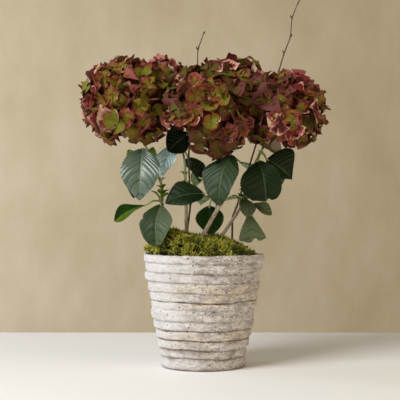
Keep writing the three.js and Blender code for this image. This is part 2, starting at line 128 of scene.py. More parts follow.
# Each shoot: its bends between joint and bloom, then its leaves as place along the shoot, foot
# and tip of the blade, width, turn about the midrib, arch, how far the widest place lies to the
# tip, and finish.
Leaf = namedtuple("Leaf", "place foot tip width turn arch broad finish")
SHOOTS = {
    "left": ([(-67, -19, 286), (-74, -18, 306)], [
        # Partly painted sheen: this leaf's silvery finish.
        (0.8, (-97, -26, 346), (-100, -52, 264), 62, -6, 14, 0.9, "silver_sheen"),
        (0.04, (-68, -36, 258), (-74, -62, 194), 54, 8, 12, 1.0, "grey"),
        (0.03, (-90, -16, 258), (-142, -30, 232), 30, 60, 8, 2.1, "rich"),
        (0.78, (-107, -2, 322), (-122, 4, 346), 18, 100, 3, 0.9, "fresh"),
        (0.84, (-86, -4, 328), (-81, -4, 350), 16, 80, 3, 0.9, "fresh"),
        (0.5, (-88, 10, 322), (-116, 44, 268), 50, 14, 10, 0.9, "deep"),
    ]),
    "tall": ([(-30, 14, 296), (-33, 18, 336)], [
        # Painted reflection: this leaf's pale finish stands for the window's light on it.
        (0.84, (-48, 22, 354), (-68, 14, 301), 40, -25, 5, 0.9, "pale"),
        # Painted shade: this leaf close under a bloom is painted nearly black.
        (0.9, (-25, -2, 371), (-58, -10, 343), 44, 80, 4, 0.9, "painted_shade"),
        (0.76, (-54, 50, 338), (-94, 94, 298), 52, 0, 12, 0.9, "grey"),
        (0.7, (-26, 36, 334), (-8, 64, 294), 36, 0, 8, 0.9, "deep"),
    ]),
    "front": ([(30, -32, 290)], [
        (0.05, (1, -34, 275), (-61, -44, 261), 50, -48, 8, 0.9, "deep"),
        (0.86, (42, -56, 336), (22, -78, 256), 66, -8, 12, 0.9, "satin"),
        (0.3, (-8, -20, 300), (-20, -10, 324), 30, 0, 4, 0.9, "deep"),
        (0.04, (74, -14, 259), (108, -14, 242), 24, 56, 5, 1.5, "dusky"),
        (0.05, (62, -23, 268), (70, -34, 235), 28, 10, 4, 0.9, "dusky"),
    ]),
    "right": ([(66, -6, 284), (76, -4, 312)], [
        (0.9, (86, -22, 327), (97, -48, 263), 68, 14, 12, 1.1, "deep"),
        (0.94, (100, -4, 330), (142, 6, 298), 60, 60, 4, 0.9, "deep"),
        (0.02, (68, -16, 256), (75, -30, 198), 42, 10, 6, 1.9, "dusky"),
        (0.62, (88, 12, 316), (118, 44, 278), 54, 0, 12, 0.9, "grey"),
    ]),
    "back": ([(28, 50, 292), (38, 56, 330)], [
        (0.5, (32, 74, 316), (26, 118, 262), 58, 0, 14, 0.9, "grey"),
        (0.72, (60, 66, 328), (98, 92, 282), 54, 0, 12, 0.9, "deep"),
        (0.25, (9, 27, 256), (10, 36, 207), 46, 0, 5, 0.9, "rich"),
        (0.06, (12, 62, 268), (-6, 92, 258), 40, 0, 8, 0.9, "rich"),
        (0.55, (12, 66, 312), (-14, 96, 286), 40, 0, 8, 0.9, "deep"),
    ]),
}
BENDS = {name: bends for name, (bends, _) in SHOOTS.items()}
LEAVES = {name: [Leaf(*row) for row in rows] for name, (_, rows) in SHOOTS.items()}
# Leaves that differ: a blunt lobed end, a bite in the margin, one half wider, one half in another
# finish, or finishes that follow each other from a place along the leaf. On the front leaf the
# finishes that follow each other are painted shade above and a lighter sheen below, and on the
# second left leaf the darker half is painted shade.
LEAF_SHAPES = {
    ("right", 0): {"blunt": 0.3, "lean": 0.16},
    ("right", 1): {"lean": -0.28},
    ("right", 2): {"blunt": 0.5},
    # painted shade and sheen: this leaf is painted dark at its upper part and lighter below
    ("front", 1): {"fade": [(0, "deep"), (0.4, "satin")]},
    # painted shade: one half of this leaf is painted darker than the other
    ("left", 1): {"notch": 0.17, "other_half": "satin", "blunt": 0.18},
    ("left", 2): {"other_half": "fresh"},
}
# Shine of each finish: how much clear waxy coat lies over the leaf. The pale and the silvery
# finishes paint the window's shine on a leaf as painted sheen, the silvery one partly over the
# leaf's own grey; the dusky and rich finishes and that for a leaf in deep shade are painted shade.
LEAF_FINISHES = {"silver_sheen": 0.7, "pale": 0.6, "satin": 0.12, "grey": 0.16, "dusky": 0.1,
                 "deep": 0.05, "rich": 0.05, "fresh": 0.1, "painted_shade": 0.02}
SIDE_VEINS = 10
# Young leaves in the lower joints of every shoot: place along the shoot, and length.
YOUNG_LEAVES = ((0.02, 18), (0.09, 14), (0.2, 9), (0.34, 7))

# Dead shoots: their bends from the soil up, and the bends that carry a bud, with its heading.
BARE = {
    "left": ([(-33, 22, SOIL_TOP), (-22, 24, 256), (-25, 24, 338), (-11, 22, 467), (-10, 20, 508),
              (-1, 18, 533)],
             [(1, 40), (4, 200), (5, 20)]),
    "right": ([(45, 12, SOIL_TOP), (46, 16, 238), (53, 22, 254), (122, 38, 474), (131, 40, 505),
               (142, 42, 532), (144, 43, 563), (155, 44, 590), (166, 45, 606)],
              [(4, 130), (5, 30), (6, 150), (8, 20)]),
}
LIMB_STEPS = 40  # points along a green shoot


# ------------------------------------------------------------------ sizes and colours to change
def length(name, description, default):
    """A length in metres for a settings panel."""
    return bpy.props.FloatProperty(name=name, description=description, default=default, min=0.0,
                                   subtype="DISTANCE", unit="LENGTH")


def shade(name, description, hex_colour):
    """A colour for a settings panel."""
    return bpy.props.FloatVectorProperty(name=name, description=description, size=3, min=0.0,
                                         max=1.0, default=linear(hex_colour), subtype="COLOR")


class PotSettings(bpy.types.PropertyGroup):
    foot_radius: length("Foot radius", "Radius of the pot's straight taper at its foot", 0.0665)
    rim_radius: length("Rim radius", "Radius of the pot's straight taper at its rim", 0.096)
    wall: length("Wall", "Thickness of the pot's wall", 0.009)
    floor: length("Floor", "Thickness of the pot's floor", 0.012)
    groove: length("Groove depth", "How far the groove between two thrown bands cuts in", 0.0022)
    wander: length("Wander", "How far the hand-thrown grooves wander up and down", 0.0045)
    lime: shade("Limewash", "Fresh thick limewash", "cdc9c6")
    # Painted shade in part: the worn and cream washes go mostly on the front and right, real wear
    # that also makes the side away from the window greyer.
    worn: shade("Worn limewash", "Limewash rubbed thin and greyed", "a39a94")
    cream: shade("Cream wash", "Limewash tinted by the clay under it", "cdbfa9")
    clay: shade("Clay", "Fired clay where the wash has gone", "7f7064")
    # Also painted shade: the grooves and the foot take this colour where shade falls, besides real
    # soil stain.
    stain: shade("Stain", "Soil stain in grooves and at the foot", "77604a")


class MossSettings(bpy.types.PropertyGroup):
    tufts: bpy.props.IntProperty(name="Tufts", description="Number of moss tufts", default=2700,
                                 min=1)
    frond: length("Frond", "Length of a moss frond", 0.0085)
    # Painted light as well: frond tips and well-lit patches take this colour.
    bright: shade("Bright", "Young frond tips", "b0aa42")
    green: shade("Green", "Living moss", "666b15")
    deep: shade("Deep", "Shaded moss", "1b1f06")
    dry: shade("Dry", "Dry brown moss", "735a22")


class WoodSettings(bpy.types.PropertyGroup):
    bark: shade("Bark", "Pale brown bark of the canes", "b5a489")
    furrow: shade("Furrow", "Dark lines in the bark", "6b5844")
    dead: shade("Dead bark", "Dry bark of the dead shoots", "5d4a3c")
    green: shade("Green stem", "Soft green stem of a shoot", "8f9a52")


class LeafSettings(bpy.types.PropertyGroup):
    # Partly painted sheen: this silvery grey-green is paler than the leaf's own green, for the
    # window's cool shine on it.
    silver_sheen: shade("Silvery leaf", "Upper side that shines pale and cool", "475948")
    # Painted reflection: this upper side is painted nearly white for the window's light that the
    # leaf reflects.
    pale: shade("Pale leaf", "Upper side nearly white with shine", "b9cfca")
    satin: shade("Satin leaf", "Upper side with a soft shine", "2a381e")
    grey: shade("Grey-green leaf", "Matt grey-green upper side", "47543b")
    dusky: shade("Dusky leaf", "Shaded greyed green upper side", "545f42")
    deep: shade("Deep leaf", "Nearly black-green upper side", "15240a")
    rich: shade("Rich green leaf", "Shaded saturated green upper side", "1f400a")
    fresh: shade("Fresh leaf", "Young bright green leaf", "6f8c2a")
    painted_shade: shade("Leaf in deep shade", "Upper side of a leaf close under a bloom", "0c1505")
    midrib: shade("Midrib", "Pale midrib", "7f9266")
    under: shade("Underside", "Pale matte underside", "7f9a6c")
    thickness: length("Thickness", "Thickness of a leaf", 0.0005)


class BloomSettings(bpy.types.PropertyGroup):
    sepal: length("Sepal length", "Length of one petal-like sepal", 0.0225)
    inner_share: bpy.props.FloatProperty(
        name="Inner florets", description="Small inner florets for each outer one", default=0.6,
        subtype="FACTOR", min=0.0, max=1.0)
    heart: shade("Heart", "Green heart of a floret", "666814")
    brown: shade("Brown", "Olive brown between heart and margin", "755016")
    margin: shade("Margin", "Wine-red margin of a sepal", "661f18")
    blush: shade("Blush", "Pink edge of a sepal", "b26c66")
    under: shade("Underside", "Cream underside", "c4a788")


class StageSettings(bpy.types.PropertyGroup):
    table: shade("Table", "Pale table top", "f5f4f1")
    backdrop: shade("Backdrop", "Warm linen backdrop", "cbb792")
    eye_height: length("Eye height", "Height of the camera", 0.265)
    eye_distance: length("Eye distance", "Distance of the camera from the pot's axis", 1.76)


# ------------------------------------------------------------------ small tools
def deselect():
    """Nothing selected, nothing in edit mode, so that the next operator acts on its own piece."""
    if bpy.context.object and bpy.context.object.mode != "OBJECT":
        bpy.ops.object.mode_set(mode="OBJECT")
    bpy.ops.object.select_all(action="DESELECT")


def take_up(piece):
    """Makes a piece the only one that is selected and active."""
    deselect()
    piece.select_set(True)
    bpy.context.view_layer.objects.active = piece


def add_modifier(piece, kind, **settings):
    """Adds a modifier and applies it, as with the Apply button."""
    take_up(piece)
    modifier = piece.modifiers.new(kind.title(), kind)
    for name, value in settings.items():
        setattr(modifier, name, value)
    bpy.ops.object.modifier_apply(modifier=modifier.name)


def relief(name, kind, size, **settings):
    """A cloud or cell pattern for a Displace modifier; size is that of its lumps, in metres."""
    pattern = bpy.data.textures.new(name, kind)
    pattern.noise_scale = size
    for key, value in settings.items():
        setattr(pattern, key, value)
    return pattern


def mesh_piece(name, points, faces, tones, materials, smooth_angle=60):
    """One joined mesh from points in mm, lists of corner arrays and their material numbers."""
    points = np.asarray(points, float).reshape(-1, 3) * MM
    corners = np.concatenate([np.asarray(f).ravel() for f in faces])
    sizes = np.concatenate([np.full(len(f), np.asarray(f).shape[1]) for f in faces])
    mesh = bpy.data.meshes.new(name)
    mesh.vertices.add(len(points))
    mesh.vertices.foreach_set("co", points.ravel())
    mesh.loops.add(len(corners))
    mesh.loops.foreach_set("vertex_index", corners.astype(np.int32))
    mesh.polygons.add(len(sizes))
    starts = np.concatenate([[0], np.cumsum(sizes)[:-1]])
    mesh.polygons.foreach_set("loop_start", starts.astype(np.int32))
    for material in materials:
        mesh.materials.append(material)
    mesh.polygons.foreach_set("material_index", np.concatenate(tones).astype(np.int32))
    mesh.update(calc_edges=True)
    mesh.validate()
    piece = bpy.data.objects.new(name, mesh)
    bpy.context.collection.objects.link(piece)
    take_up(piece)
    bpy.ops.object.shade_smooth_by_angle(angle=math.radians(smooth_angle))
    return piece


def fit_to_frame(piece, slot, *nodes):
    """The piece rides with the plant and stands for its nodes, which it hides; its slot is not
    used.
    """
    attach(piece, "root")
    if nodes:
        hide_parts(*nodes)


def node(tree, kind, settings=None, **links):
    """Adds one shader node; settings are its own, links are values or sockets for its inputs."""
    made = tree.nodes.new(kind)
    for key, value in (settings or {}).items():
        setattr(made, key, value)
    for key, value in links.items():
        number = key[1:]
        socket = made.inputs[int(number) if number.isdigit() else key.replace("_", " ")]
        if isinstance(value, bpy.types.NodeSocket):
            tree.links.new(value, socket)
        else:
            socket.default_value = value
    return made


def new_material(name, colour, roughness, ior=1.5, **values):
    """A Principled material with its constant values on the shader's own sockets."""
    material = bpy.data.materials.new(name)
    material.use_nodes = True
    shader = material.node_tree.nodes["Principled BSDF"]
    shader.inputs["Base Color"].default_value = (*colour, 1)
    shader.inputs["Roughness"].default_value = roughness
    shader.inputs["IOR"].default_value = ior
    for key, value in values.items():
        shader.inputs[key.replace("_", " ")].default_value = value
    return material, material.node_tree, shader


def grained(name, colour, roughness, grit, tints=None, levels=(0, 1), **values):
    """A material with fine relief along the piece's own axes. Grit is the size of its lumps in
    metres, the strength and depth of the relief, and how the lumps are stretched. Where there are
    two tints, the colour runs from one to the other between two levels of the lumps."""
    size, strength, depth, stretch = grit
    material, tree, shader = new_material(name, colour, roughness, **values)
    place = node(tree, "ShaderNodeTexCoord").outputs["Object"]
    placed = node(tree, "ShaderNodeMapping", _0=place, Scale=(1, 1, stretch))
    lumps = node(tree, "ShaderNodeTexNoise", _0=placed.outputs[0], Scale=1 / size, Detail=4.0,
                 Roughness=0.6)
    bump = node(tree, "ShaderNodeBump", Strength=strength, Distance=depth, Height=lumps.outputs[0])
    tree.links.new(bump.outputs[0], shader.inputs["Normal"])
    if tints:
        share = node(tree, "ShaderNodeMapRange", Value=lumps.outputs[0], From_Min=levels[0],
                     From_Max=levels[1])
        tint = node(tree, "ShaderNodeMix", {"data_type": "RGBA"}, _0=share.outputs[0],
                    _6=(*tints[0], 1), _7=(*tints[1], 1))
        tree.links.new(tint.outputs[2], shader.inputs["Base Color"])
    return material


def mixed(first, second, share):
    """A colour part of the way from the first to the second."""
    return tuple(a + (b - a) * share for a, b in zip(first, second))


def unit(vectors):
    """Vectors scaled to length one, along the last axis."""
    return vectors / np.maximum(np.linalg.norm(vectors, axis=-1, keepdims=True), 1e-9)


def smooth_path(points, count):
    """Evenly shared points on a centripetal curve through the given ones."""
    given = [Vector(p) for p in points]
    given = [given[0] * 2 - given[1], *given, given[-1] * 2 - given[-2]]

    def between(first, second, start, end):
        return first * ((end - t) / (end - start)) + second * ((t - start) / (end - start))

    fine, steps = [], 24
    for a, b, c, d in zip(given, given[1:], given[2:], given[3:]):
        t0 = 0.0
        t1 = t0 + math.sqrt((b - a).length)
        t2 = t1 + math.sqrt((c - b).length)
        t3 = t2 + math.sqrt((d - c).length)
        for k in range(steps):
            t = t1 + (t2 - t1) * k / steps
            middle = between(b, c, t1, t2)
            before = between(between(a, b, t0, t1), middle, t0, t2)
            after = between(middle, between(c, d, t2, t3), t1, t3)
            fine.append(between(before, after, t1, t2))
    fine.append(given[-2])
    fine = np.array([tuple(p) for p in fine])
    return along_path(fine, np.linspace(0, 1, count))


def along_path(path, shares):
    """Points on a path of many points at shares of its length."""
    path = np.asarray(path, float)
    gone = np.concatenate([[0], np.cumsum(np.linalg.norm(np.diff(path, axis=0), axis=1))])
    want = np.asarray(shares) * gone[-1]
    return np.stack([np.interp(want, gone, path[:, k]) for k in range(3)], axis=-1)


def tube(path, radii, sides):
    """A round closed limb along a path, both ends drawn to a point: points, quads, end faces."""
    path = np.asarray(path, float)
    radii = np.asarray(radii, float)
    along = unit(np.gradient(path, axis=0))
    side = np.zeros_like(path)
    hint = np.array([1.0, 0, 0]) if abs(along[0, 0]) < 0.9 else np.array([0, 1.0, 0])
    for i, direction in enumerate(along):
        hint = hint - direction * hint.dot(direction)
        hint /= np.linalg.norm(hint)
        side[i] = hint
    other = np.cross(along, side)
    turn = np.linspace(0, 2 * math.pi, sides, endpoint=False)[None, :, None]
    ring = np.cos(turn) * side[:, None] + np.sin(turn) * other[:, None]
    points = path[:, None] + ring * radii[:, None, None]
    points = np.concatenate([points.reshape(-1, 3), path[:1], path[-1:]])
    rows, k = np.arange(len(path) - 1)[:, None] * sides, np.arange(sides)[None, :]
    after = (k + 1) % sides
    above = rows + sides
    walls = np.stack([rows + k, rows + after, above + after, above + k], -1).reshape(-1, 4)
    last, top = len(points) - 1, (len(path) - 1) * sides
    k, after = k[0], after[0]
    caps = np.concatenate([
        np.stack([after, k, np.full(sides, last - 1)], -1),
        np.stack([top + k, top + after, np.full(sides, last)], -1),
    ])
    return points, walls, caps


def grid_quads(numbers, order=(0, 1, 2, 3)):
    """Quads of a grid of point numbers, row by row, with their corners in the given order."""
    corners = numbers[:-1, :-1], numbers[:-1, 1:], numbers[1:, 1:], numbers[1:, :-1]
    return np.stack([corners[k] for k in order], -1).reshape(-1, 4)


def blade_numbers(high, wide):
    """Point numbers of a thin blade's upper and lower face, which share the points of its rim."""
    upper = np.arange(high * wide).reshape(high, wide)
    lower = upper + high * wide
    for rim in (np.s_[0], np.s_[-1], np.s_[:, 0], np.s_[:, -1]):
        lower[rim] = upper[rim]
    return upper, lower


class Bundle:
    """Gathers many small shapes, each with its material number, into one joined mesh."""

    def __init__(self):
        self.points, self.faces, self.tones, self.count = [], {3: [], 4: []}, {3: [], 4: []}, 0

    def add(self, points, faces, tone):
        """Adds one shape; faces is an array of corners, tone one number or one for each face."""
        faces = np.asarray(faces)
        size = faces.shape[1]
        self.faces[size].append(faces + self.count)
        self.tones[size].append(np.broadcast_to(tone, len(faces)))
        if points is not None:
            self.points.append(np.asarray(points, float).reshape(-1, 3))

    def close(self):
        """Ends one shape, after its faces were added against its own points."""
        self.count = sum(len(p) for p in self.points)

    def limb(self, path, radii, sides, tone, bark=None):
        """Adds a round limb; bark lifts each point of its rings by its own height."""
        points, walls, caps = tube(path, radii, sides)
        if bark is not None:
            rings = points[:-2].reshape(len(path), sides, 3)
            rings += unit(rings - path[:, None]) * bark[..., None]
        self.add(points, walls, tone)
        self.add(None, caps, tone)
        self.close()

    def piece(self, name, materials, smooth_angle=60):
        """Makes the joined mesh."""
        faces = [np.concatenate(self.faces[k]) for k in (3, 4) if self.faces[k]]
        tones = [np.concatenate(self.tones[k]) for k in (3, 4) if self.faces[k]]
        return mesh_piece(name, np.concatenate(self.points), faces, tones, materials, smooth_angle)


# ------------------------------------------------------------------ where the plant grows
def cane_path(name, count):
    """Centres of a cane from the soil to its joint, with its slight bow to the back."""
    foot, joint, _ = CANES[name]
    share = np.linspace(0, 1, count)
    start = np.array([*foot, SOIL_TOP + CLEAR])
    path = start + (np.array(joint) - start) * share[:, None]
    path[:, 1] += CANE_BOW * np.sin(math.pi * share)
    return path


def stalk_ends(name):
    """Where a bloom's stalk leaves its shoot and where it ends inside the bloom."""
    centre = np.array(BLOOMS[name].centre, float)
    outward = unit(np.array(BENDS[name][-1]) - centre)
    reach = 1.05 * BLOOMS[name].down
    return centre + outward * reach, centre + outward * reach * 0.4


def shoot_path(name, count):
    """Centres of a green shoot from its cane's joint up into its bloom."""
    cane = cane_path(name, CANE_STEPS + 1)
    joint, upward = cane[-1], unit(cane[-1] - cane[-2])
    low, high = stalk_ends(name)
    into = unit(high - low)
    straight = 4.3  # it leaves its cane and enters its bloom in line with them
    inner = [joint + upward * straight, *BENDS[name], low - into * straight]
    return smooth_path(inner, count)


def bloom_radii(name, direction):
    """Half sizes of a bloom for directions from its centre."""
    bloom = BLOOMS[name]
    height = np.where(direction[..., 2:] > 0, bloom.up, bloom.down)
    level = [np.full_like(height, bloom.across), np.full_like(height, bloom.deep)]
    return np.concatenate([*level, height], -1)


def own_side(name, points):
    """How far points lie on a bloom's own side of the planes halfway to its neighbours."""
    here, mine = np.array(BLOOMS[name].centre, float), BLOOMS[name].across
    nearest = np.full(points.shape[:-1], 1e9)
    for other, bloom in BLOOMS.items():
        if other == name:
            continue
        apart = np.linalg.norm(np.array(bloom.centre) - here)
        normal = (np.array(bloom.centre) - here) / apart
        reach = (apart**2 + mine**2 - bloom.across**2) / (2 * apart)
        nearest = np.minimum(nearest, reach + normal @ here - points @ normal)
    return nearest


def moss_height(x, y):
    """Height of the moss: highest at the left, falling at the right, rounding off at its edge."""
    outward = np.minimum(np.hypot(x - MOSS["x"], y) / MOSS["radius"], 1)
    hump = MOSS["peak"] * np.exp(-(((x - MOSS["peak_x"]) / MOSS["peak_width"]) ** 2))
    fall = MOSS["fall"] * np.maximum(0, x - MOSS["fall_from"])
    lumps = 1.6 * np.sin(x * 0.13 + 1) * np.cos(y * 0.11)
    return MOSS["edge"] + (MOSS["crest"] + hump - fall + lumps - MOSS["edge"]) * (1 - outward**6)


# ------------------------------------------------------------------ pot and soil
def limewashed_clay(look):
    """Rough fired clay under worn limewash: chalky white, cream on some bands, scuffed grey with
    dark scratches and pits on others, brown in the grooves and at the foot, which is soil stain and
    painted shade."""
    material, tree, shader = new_material("limewashed fired clay", look.lime, 0.92)
    place = node(tree, "ShaderNodeTexCoord").outputs["Object"]

    def math_node(operation, *values):
        links = {f"_{k}": value for k, value in enumerate(values)}
        return node(tree, "ShaderNodeMath", {"operation": operation}, **links).outputs[0]

    def smooth_step(value, low, high, **ends):
        return node(tree, "ShaderNodeMapRange", {"interpolation_type": "SMOOTHSTEP"}, Value=value,
                    From_Min=low, From_Max=high, **ends).outputs[0]

    def patches(size, stretch, low, high, detail=8.0, roughness=0.7, distortion=0.0):
        """Cloudy patches of a size in metres, 0 below the low level and 1 above the high one."""
        placed = node(tree, "ShaderNodeMapping", _0=place, Scale=(1, 1, stretch))
        cloud = node(tree, "ShaderNodeTexNoise", _0=placed.outputs[0], Scale=1 / size,
                     Detail=detail, Roughness=roughness, Distortion=distortion)
        return smooth_step(cloud.outputs[0], low, high)

    axes = node(tree, "ShaderNodeSeparateXYZ", _0=place)
    # The left side kept its wash; the front and right are rubbed. This is real wear, and also
    # painted shade: the side away from the window comes out greyer and the left whiter.
    rubbed = smooth_step(axes.outputs[0], -0.065, 0.0, To_Min=0.3, To_Max=1.0)
    # Whole stretches of a band are rough.
    rough = math_node("MULTIPLY", patches(0.05, 2.4, 0.36, 0.56, detail=3.0), rubbed)
    creamy = node(tree, "ShaderNodeValToRGB", _0=math_node("DIVIDE", axes.outputs[2], POT_TOP))
    for end in creamy.color_ramp.elements:
        end.color = (0.1, 0.1, 0.1, 1)
    for level, tint in ((0.19, 0.1), (0.23, 0.8), (0.34, 0.8), (0.38, 0.15), (0.52, 0.15),
                        (0.58, 1.0), (0.73, 0.9), (0.77, 0.1)):
        creamy.color_ramp.elements.new(level).color = (tint, tint, tint, 1)
    cream = math_node("MULTIPLY", patches(0.07, 3.0, 0.36, 0.56, detail=2.0), creamy.outputs[0])
    # Pits of about 2 mm where grit pulled out, in some places only.
    cells = node(tree, "ShaderNodeTexVoronoi", {"feature": "F1"}, Vector=place, Scale=1 / 0.0075,
                 Randomness=1.0)
    pitted = math_node("MULTIPLY", patches(0.02, 1.0, 0.4, 0.75, detail=2.0), 0.26)
    pits = math_node("LESS_THAN", cells.outputs[0], pitted)
    stain_and_shade = node(tree, "ShaderNodeAttribute", {"attribute_name": "stain_and_shade"}).outputs["Fac"]
    broken = math_node("MULTIPLY_ADD", patches(0.03, 1.0, 0.3, 0.6), 0.65, 0.35)
    dark = mixed(look.stain, BLACK, 0.45)
    scratches = patches(0.004, 1.5, 0.57, 0.63, detail=4.0, distortion=0.8)
    wash = (*look.lime, 1)
    for over, pattern, where in (
        (look.cream, cream, rubbed),
        (look.worn, patches(0.02, 3.0, 0.4, 0.6), rubbed),
        (look.clay, patches(0.0065, 2.6, 0.48, 0.62, roughness=0.8), rough),
        (look.clay, patches(0.014, 4.5, 0.62, 0.7, roughness=0.75), None),
        (dark, scratches, rough),
        (look.lime, patches(0.0048, 1.2, 0.58, 0.64, detail=4.0), rough),
        (dark, pits, None),
        # soil stain and painted shade in the grooves and at the foot
        (look.stain, stain_and_shade, broken),
    ):
        share = pattern if where is None else math_node("MULTIPLY", pattern, where)
        wash = node(tree, "ShaderNodeMix", {"data_type": "RGBA"}, _0=share, _6=wash,
                    _7=(*over, 1)).outputs[2]
    tree.links.new(wash, shader.inputs["Base Color"])
    grit = node(tree, "ShaderNodeTexNoise", _0=place, Scale=1 / 0.0022, Detail=6.0, Roughness=0.7)
    bump = node(tree, "ShaderNodeBump", Strength=0.55, Distance=0.0008, Height=grit.outputs[0])
    tree.links.new(bump.outputs[0], shader.inputs["Normal"])
    return material


def off_axis(z):
    """How far the pot's outer wall stands off its axis at heights in metres."""
    tall = np.array([height for height, _ in BANDS])
    tops = np.cumsum(tall)
    levels = np.stack([tops - tall + 1.5, tops - 1.5], 1).ravel()
    return np.interp(np.asarray(z) / MM, levels, np.repeat(OFF_AXIS, 2)) * MM


def taper(look, z):
    """Radius of the pot's straight taper at a height in metres."""
    return look.foot_radius + (look.rim_radius - look.foot_radius) * z / POT_TOP


def pot_profile(look):
    """Rings of the pot's wall, foot to rim and down inside: radius and height in metres."""
    foot, rim = look.foot_radius, look.rim_radius
    rings = [(foot - 0.0022, 0.0006), (foot - 0.0012, 0.002)]
    z = 0.0
    for i, (tall, proud) in enumerate(BANDS):
        tall, proud = tall * MM, proud * MM
        for share, out in BAND_SWELL:
            lift = z + tall * share
            rings.append((taper(look, lift) + proud + out * MM, lift))
        z += tall
        if i + 1 < len(BANDS):
            step = min(proud, BANDS[i + 1][1] * MM)
            depth = look.groove * GROOVES[i]
            rings.append((taper(look, z - 0.0006) + step - depth * 0.85, z - 0.0006))
            rings.append((taper(look, z + 0.0002) + step - depth, z + 0.0002))
    rings += [(rim - 0.0004, POT_TOP - 0.002), (rim - 0.0018, POT_TOP - 0.0004),
              (rim - 0.0045, POT_TOP), (rim - look.wall + 0.0015, POT_TOP - 0.0008)]
    for level in (POT_TOP - 0.004, POT_TOP - 0.012, POT_TOP - 0.03, look.floor):
        rings.append((taper(look, level) - look.wall, level))
    return rings


def build_pot(look):
    """The pot: a ring drawn up band by band, then knocked out of true and pitted as by hand."""
    rings = pot_profile(look)
    radius, level, aside = rings[0][0] - 0.0012, 0.0, 0.0
    deselect()
    bpy.ops.mesh.primitive_circle_add(vertices=POT_SPOKES, radius=radius, fill_type="NGON")
    pot = bpy.context.object
    pot.name = pot.data.name = "limewashed_pot"
    bpy.ops.object.mode_set(mode="EDIT")
    bpy.ops.mesh.select_mode(type="EDGE")
    bpy.ops.mesh.select_all(action="DESELECT")
    bpy.ops.mesh.select_non_manifold()
    for wide, lift in rings:
        inside = POT_TOP <= level and lift < POT_TOP
        shift = 0.0 if inside or lift < 0.001 else float(off_axis(lift))
        bpy.ops.mesh.extrude_edges_move(
            TRANSFORM_OT_translate={"value": (shift - aside, 0, lift - level)})
        bpy.ops.transform.resize(value=(wide / radius, wide / radius, 1),
                                 center_override=(shift, 0, lift))
        radius, level, aside = wide, lift, shift
    bpy.ops.mesh.edge_face_add()
    bpy.ops.mesh.select_all(action="SELECT")
    bpy.ops.mesh.normals_make_consistent(inside=False)
    bpy.ops.object.mode_set(mode="OBJECT")
    wall = pot.vertex_groups.new(name="wall")
    for vertex in pot.data.vertices:  # only the outside is uneven, from the foot's edge up
        x, y, z = vertex.co
        outside = math.hypot(x - float(off_axis(z)), y) > taper(look, z) - 0.0055
        if outside and z > 0.0003:
            wall.add([vertex.index], min(1.0, z / 0.006), "REPLACE")
    add_modifier(pot, "SUBSURF", levels=1, render_levels=1)
    for vertex in pot.data.vertices:  # the rim stays level, so the wander fades out below it
        for group in vertex.groups:
            if vertex.co.z > POT_TOP - 0.016:
                fade = max(0.0, (POT_TOP - 0.001 - vertex.co.z) / 0.015)
                wall.add([vertex.index], group.weight * fade, "REPLACE")
    pitted = {"distance_metric": "DISTANCE", "weight_1": 1.0, "noise_intensity": 1.5}
    for name, kind, size, settings, way, strength, middle in (
        ("thrown grooves", "CLOUDS", 0.055, {"noise_depth": 1}, "Z", look.wander, 0.5),
        ("thrown wall", "CLOUDS", 0.03, {"noise_depth": 2}, "NORMAL", 0.0032, 0.5),
        ("limewash crust", "CLOUDS", 0.0055, {"noise_depth": 3}, "NORMAL", 0.0011, 0.5),
        ("grit pits", "VORONOI", 0.009, pitted, "NORMAL", 0.0007, 0.75),
    ):
        pattern = relief(name, kind, size, **settings)
        add_modifier(pot, "DISPLACE", texture=pattern, direction=way, strength=strength,
                     mid_level=middle, vertex_group="wall")
    mark_stain_and_shade(pot, look)
    pot.data.materials.clear()
    pot.data.materials.append(limewashed_clay(look))
    take_up(pot)
    bpy.ops.object.shade_smooth_by_angle(angle=math.radians(70))
    fit_to_frame(pot, "pot", "pot")
    return pot


def mark_stain_and_shade(pot, look):
    """Stores how far each place lies in a groove or at the foot, where soil stain and painted shade
    are laid.
    """
    count = len(pot.data.vertices)
    place = np.empty(count * 3)
    pot.data.vertices.foreach_get("co", place)
    x, y, z = place.reshape(-1, 3).T
    depth = taper(look, z) - np.hypot(x - off_axis(z), y)
    # The grooves and the last 7 mm at the foot take stain and painted shade.
    groove = np.clip((depth - 0.0007) / 0.0017, 0, 1) * (depth < 0.006)
    foot = np.clip(1 - z / 0.007, 0, 1) * 0.8
    mark = pot.data.attributes.new("stain_and_shade", "FLOAT", "POINT")
    mark.data.foreach_set("value", np.maximum(groove * 0.85, foot).astype(np.float32))


def potting_soil():
    """Moist potting compost: nearly black crumbs with a few pale specks."""
    return grained("moist potting compost", linear("2b2018"), 0.95, (0.004, 0.9, 0.002, 1),
                   (linear("1b130d"), linear("4a3827")), (0.35, 0.7))


